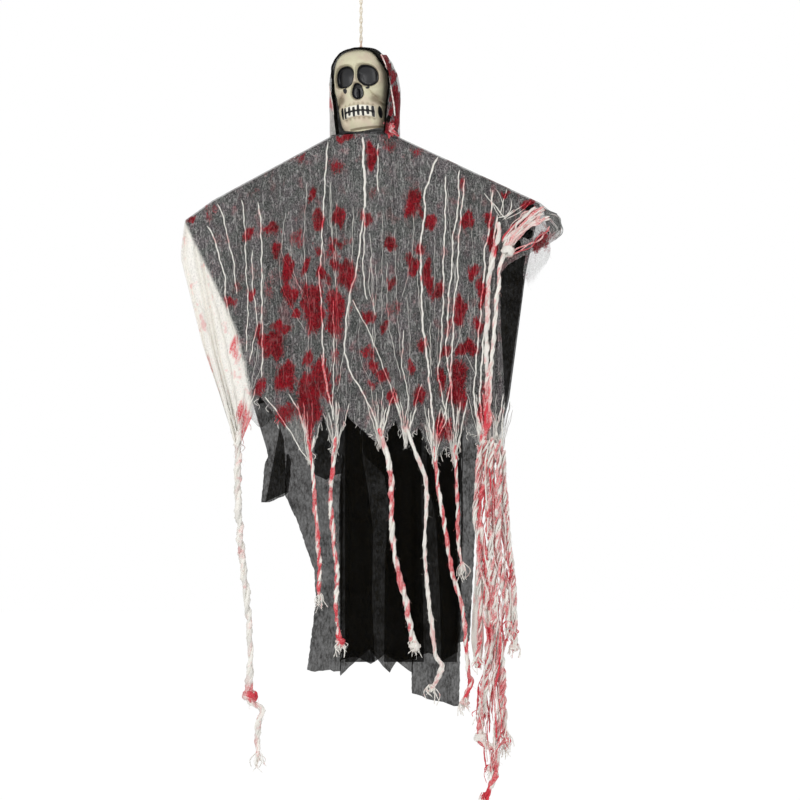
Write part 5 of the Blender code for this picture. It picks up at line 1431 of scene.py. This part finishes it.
for x, y in FAN:
    start = (503 + draw.normal(0, 3), 219 + draw.normal(0, 3))
    middle = ((start[0] + x) / 2 + draw.normal(0, 2), (start[1] + y) / 2 + 2)
    route = thread_route([start, middle, (x, y)], 1.0 * MM)
    yarn(bunch_sewing, route, draw.uniform(0.3, 0.6) * MM, "fan", marks=rope_marks(route, 0.8))
shoulder_bunch = bunch_sewing.make("shoulder_bunch", ropes)

# Loose fibres stand off the cut hem, the tails and the threads, as pulled gauze sheds them.
# Geometry Nodes scatters them where the cloth is marked as frayed, each one a thin bent hair.
FIBRES = {"Fibres per square metre": 16000.0, "Fibre length": 5 * MM, "Fibre radius": 0.07 * MM}
FIBRE_SEED = 17


class Scatter:
    """A Geometry Nodes tree; add() makes a node from its type, settings and socket values."""

    def __init__(self, name, sizes):
        self.tree = bpy.data.node_groups.new(name, "GeometryNodeTree")
        self.tree.interface.new_socket("Cloth", in_out="INPUT", socket_type="NodeSocketGeometry")
        for size in sizes:
            self.tree.interface.new_socket(size, in_out="INPUT", socket_type="NodeSocketFloat")
        self.tree.interface.new_socket("Fibres", in_out="OUTPUT", socket_type="NodeSocketGeometry")
        self.given = self.tree.nodes.new("NodeGroupInput").outputs
        self.result = self.tree.nodes.new("NodeGroupOutput").inputs

    def add(self, kind, settings=None, values=None, output=0):
        node = self.tree.nodes.new(kind)
        for name, value in (settings or {}).items():
            setattr(node, name, value)
        for name, value in (values or {}).items():
            if isinstance(value, bpy.types.NodeSocket):
                self.tree.links.new(value, node.inputs[name])
            else:
                node.inputs[name].default_value = value
        return node.outputs[output]

    def times(self, first, second):
        return self.add("ShaderNodeMath", {"operation": "MULTIPLY"}, {0: first, 1: second})


shed = Scatter("shed_fibres", FIBRES)
frayed = shed.add("GeometryNodeInputNamedAttribute", {"data_type": "FLOAT"}, {"Name": "fray"})
crowd = shed.times(frayed, shed.given["Fibres per square metre"])
roots = shed.add("GeometryNodeDistributePointsOnFaces", {"distribute_method": "RANDOM"},
                 {"Mesh": shed.given["Cloth"], "Density": crowd, "Seed": FIBRE_SEED})
reach = shed.given["Fibre length"]
middle = shed.add("ShaderNodeCombineXYZ", None, {"X": shed.times(reach, 0.25), "Z": shed.times(reach, -0.6)})
tip = shed.add("ShaderNodeCombineXYZ", None, {"Z": shed.times(reach, -1.0)})
hair = shed.add("GeometryNodeCurveQuadraticBezier", None,
                {"Resolution": 4, "Start": (0, 0, 0), "Middle": middle, "End": tip})
ring = shed.add("GeometryNodeCurvePrimitiveCircle", None,
                {"Resolution": 3, "Radius": shed.given["Fibre radius"]})
fibre = shed.add("GeometryNodeCurveToMesh", None, {"Curve": hair, "Profile Curve": ring})
lean = shed.add("FunctionNodeRandomValue", {"data_type": "FLOAT_VECTOR"},
                {0: (-1.1, -0.3, -math.pi), 1: (1.1, 0.3, math.pi), "Seed": FIBRE_SEED})
grow = shed.add("FunctionNodeRandomValue", {"data_type": "FLOAT"},
                {2: 0.35, 3: 1.5, "Seed": FIBRE_SEED + 1}, 1)
planted = shed.add("GeometryNodeInstanceOnPoints", None,
                   {"Points": roots, "Instance": fibre, "Rotation": lean, "Scale": grow})
real = shed.add("GeometryNodeRealizeInstances", None, {"Geometry": planted})
shed.tree.links.new(shed.add("GeometryNodeSetMaterial", None, {"Geometry": real, "Material": ropes.material}),
                    shed.result["Fibres"])
fibres = []
for cloth in (gauze_drape, tails, side_bundle, threads):
    modifier = cloth.modifiers.new("shed_fibres", "NODES")
    modifier.node_group = shed.tree
    for socket in shed.tree.interface.items_tree:
        if socket.name in FIBRES:
            modifier[socket.identifier] = FIBRES[socket.name]
    evaluated = cloth.evaluated_get(bpy.context.evaluated_depsgraph_get())
    made = bpy.data.objects.new(cloth.name + "_fibres", bpy.data.meshes.new_from_object(evaluated))
    cloth.modifiers.remove(modifier)
    scene.collection.objects.link(made)
    fibres.append(made)

for piece, node, slot in (
        (hood_lining, "hood_lining", "black_nonwoven"), (hood_gauze, "hood_gauze", "stained_gauze"),
        (black_robe, "black_robe", "black_nonwoven"), (gauze_drape, "gauze_drape", "stained_gauze")):
    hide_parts(node)
    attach(piece, "root")
for piece in (tails, side_bundle, threads, shoulder_bunch, *fibres):
    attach(piece, "root")
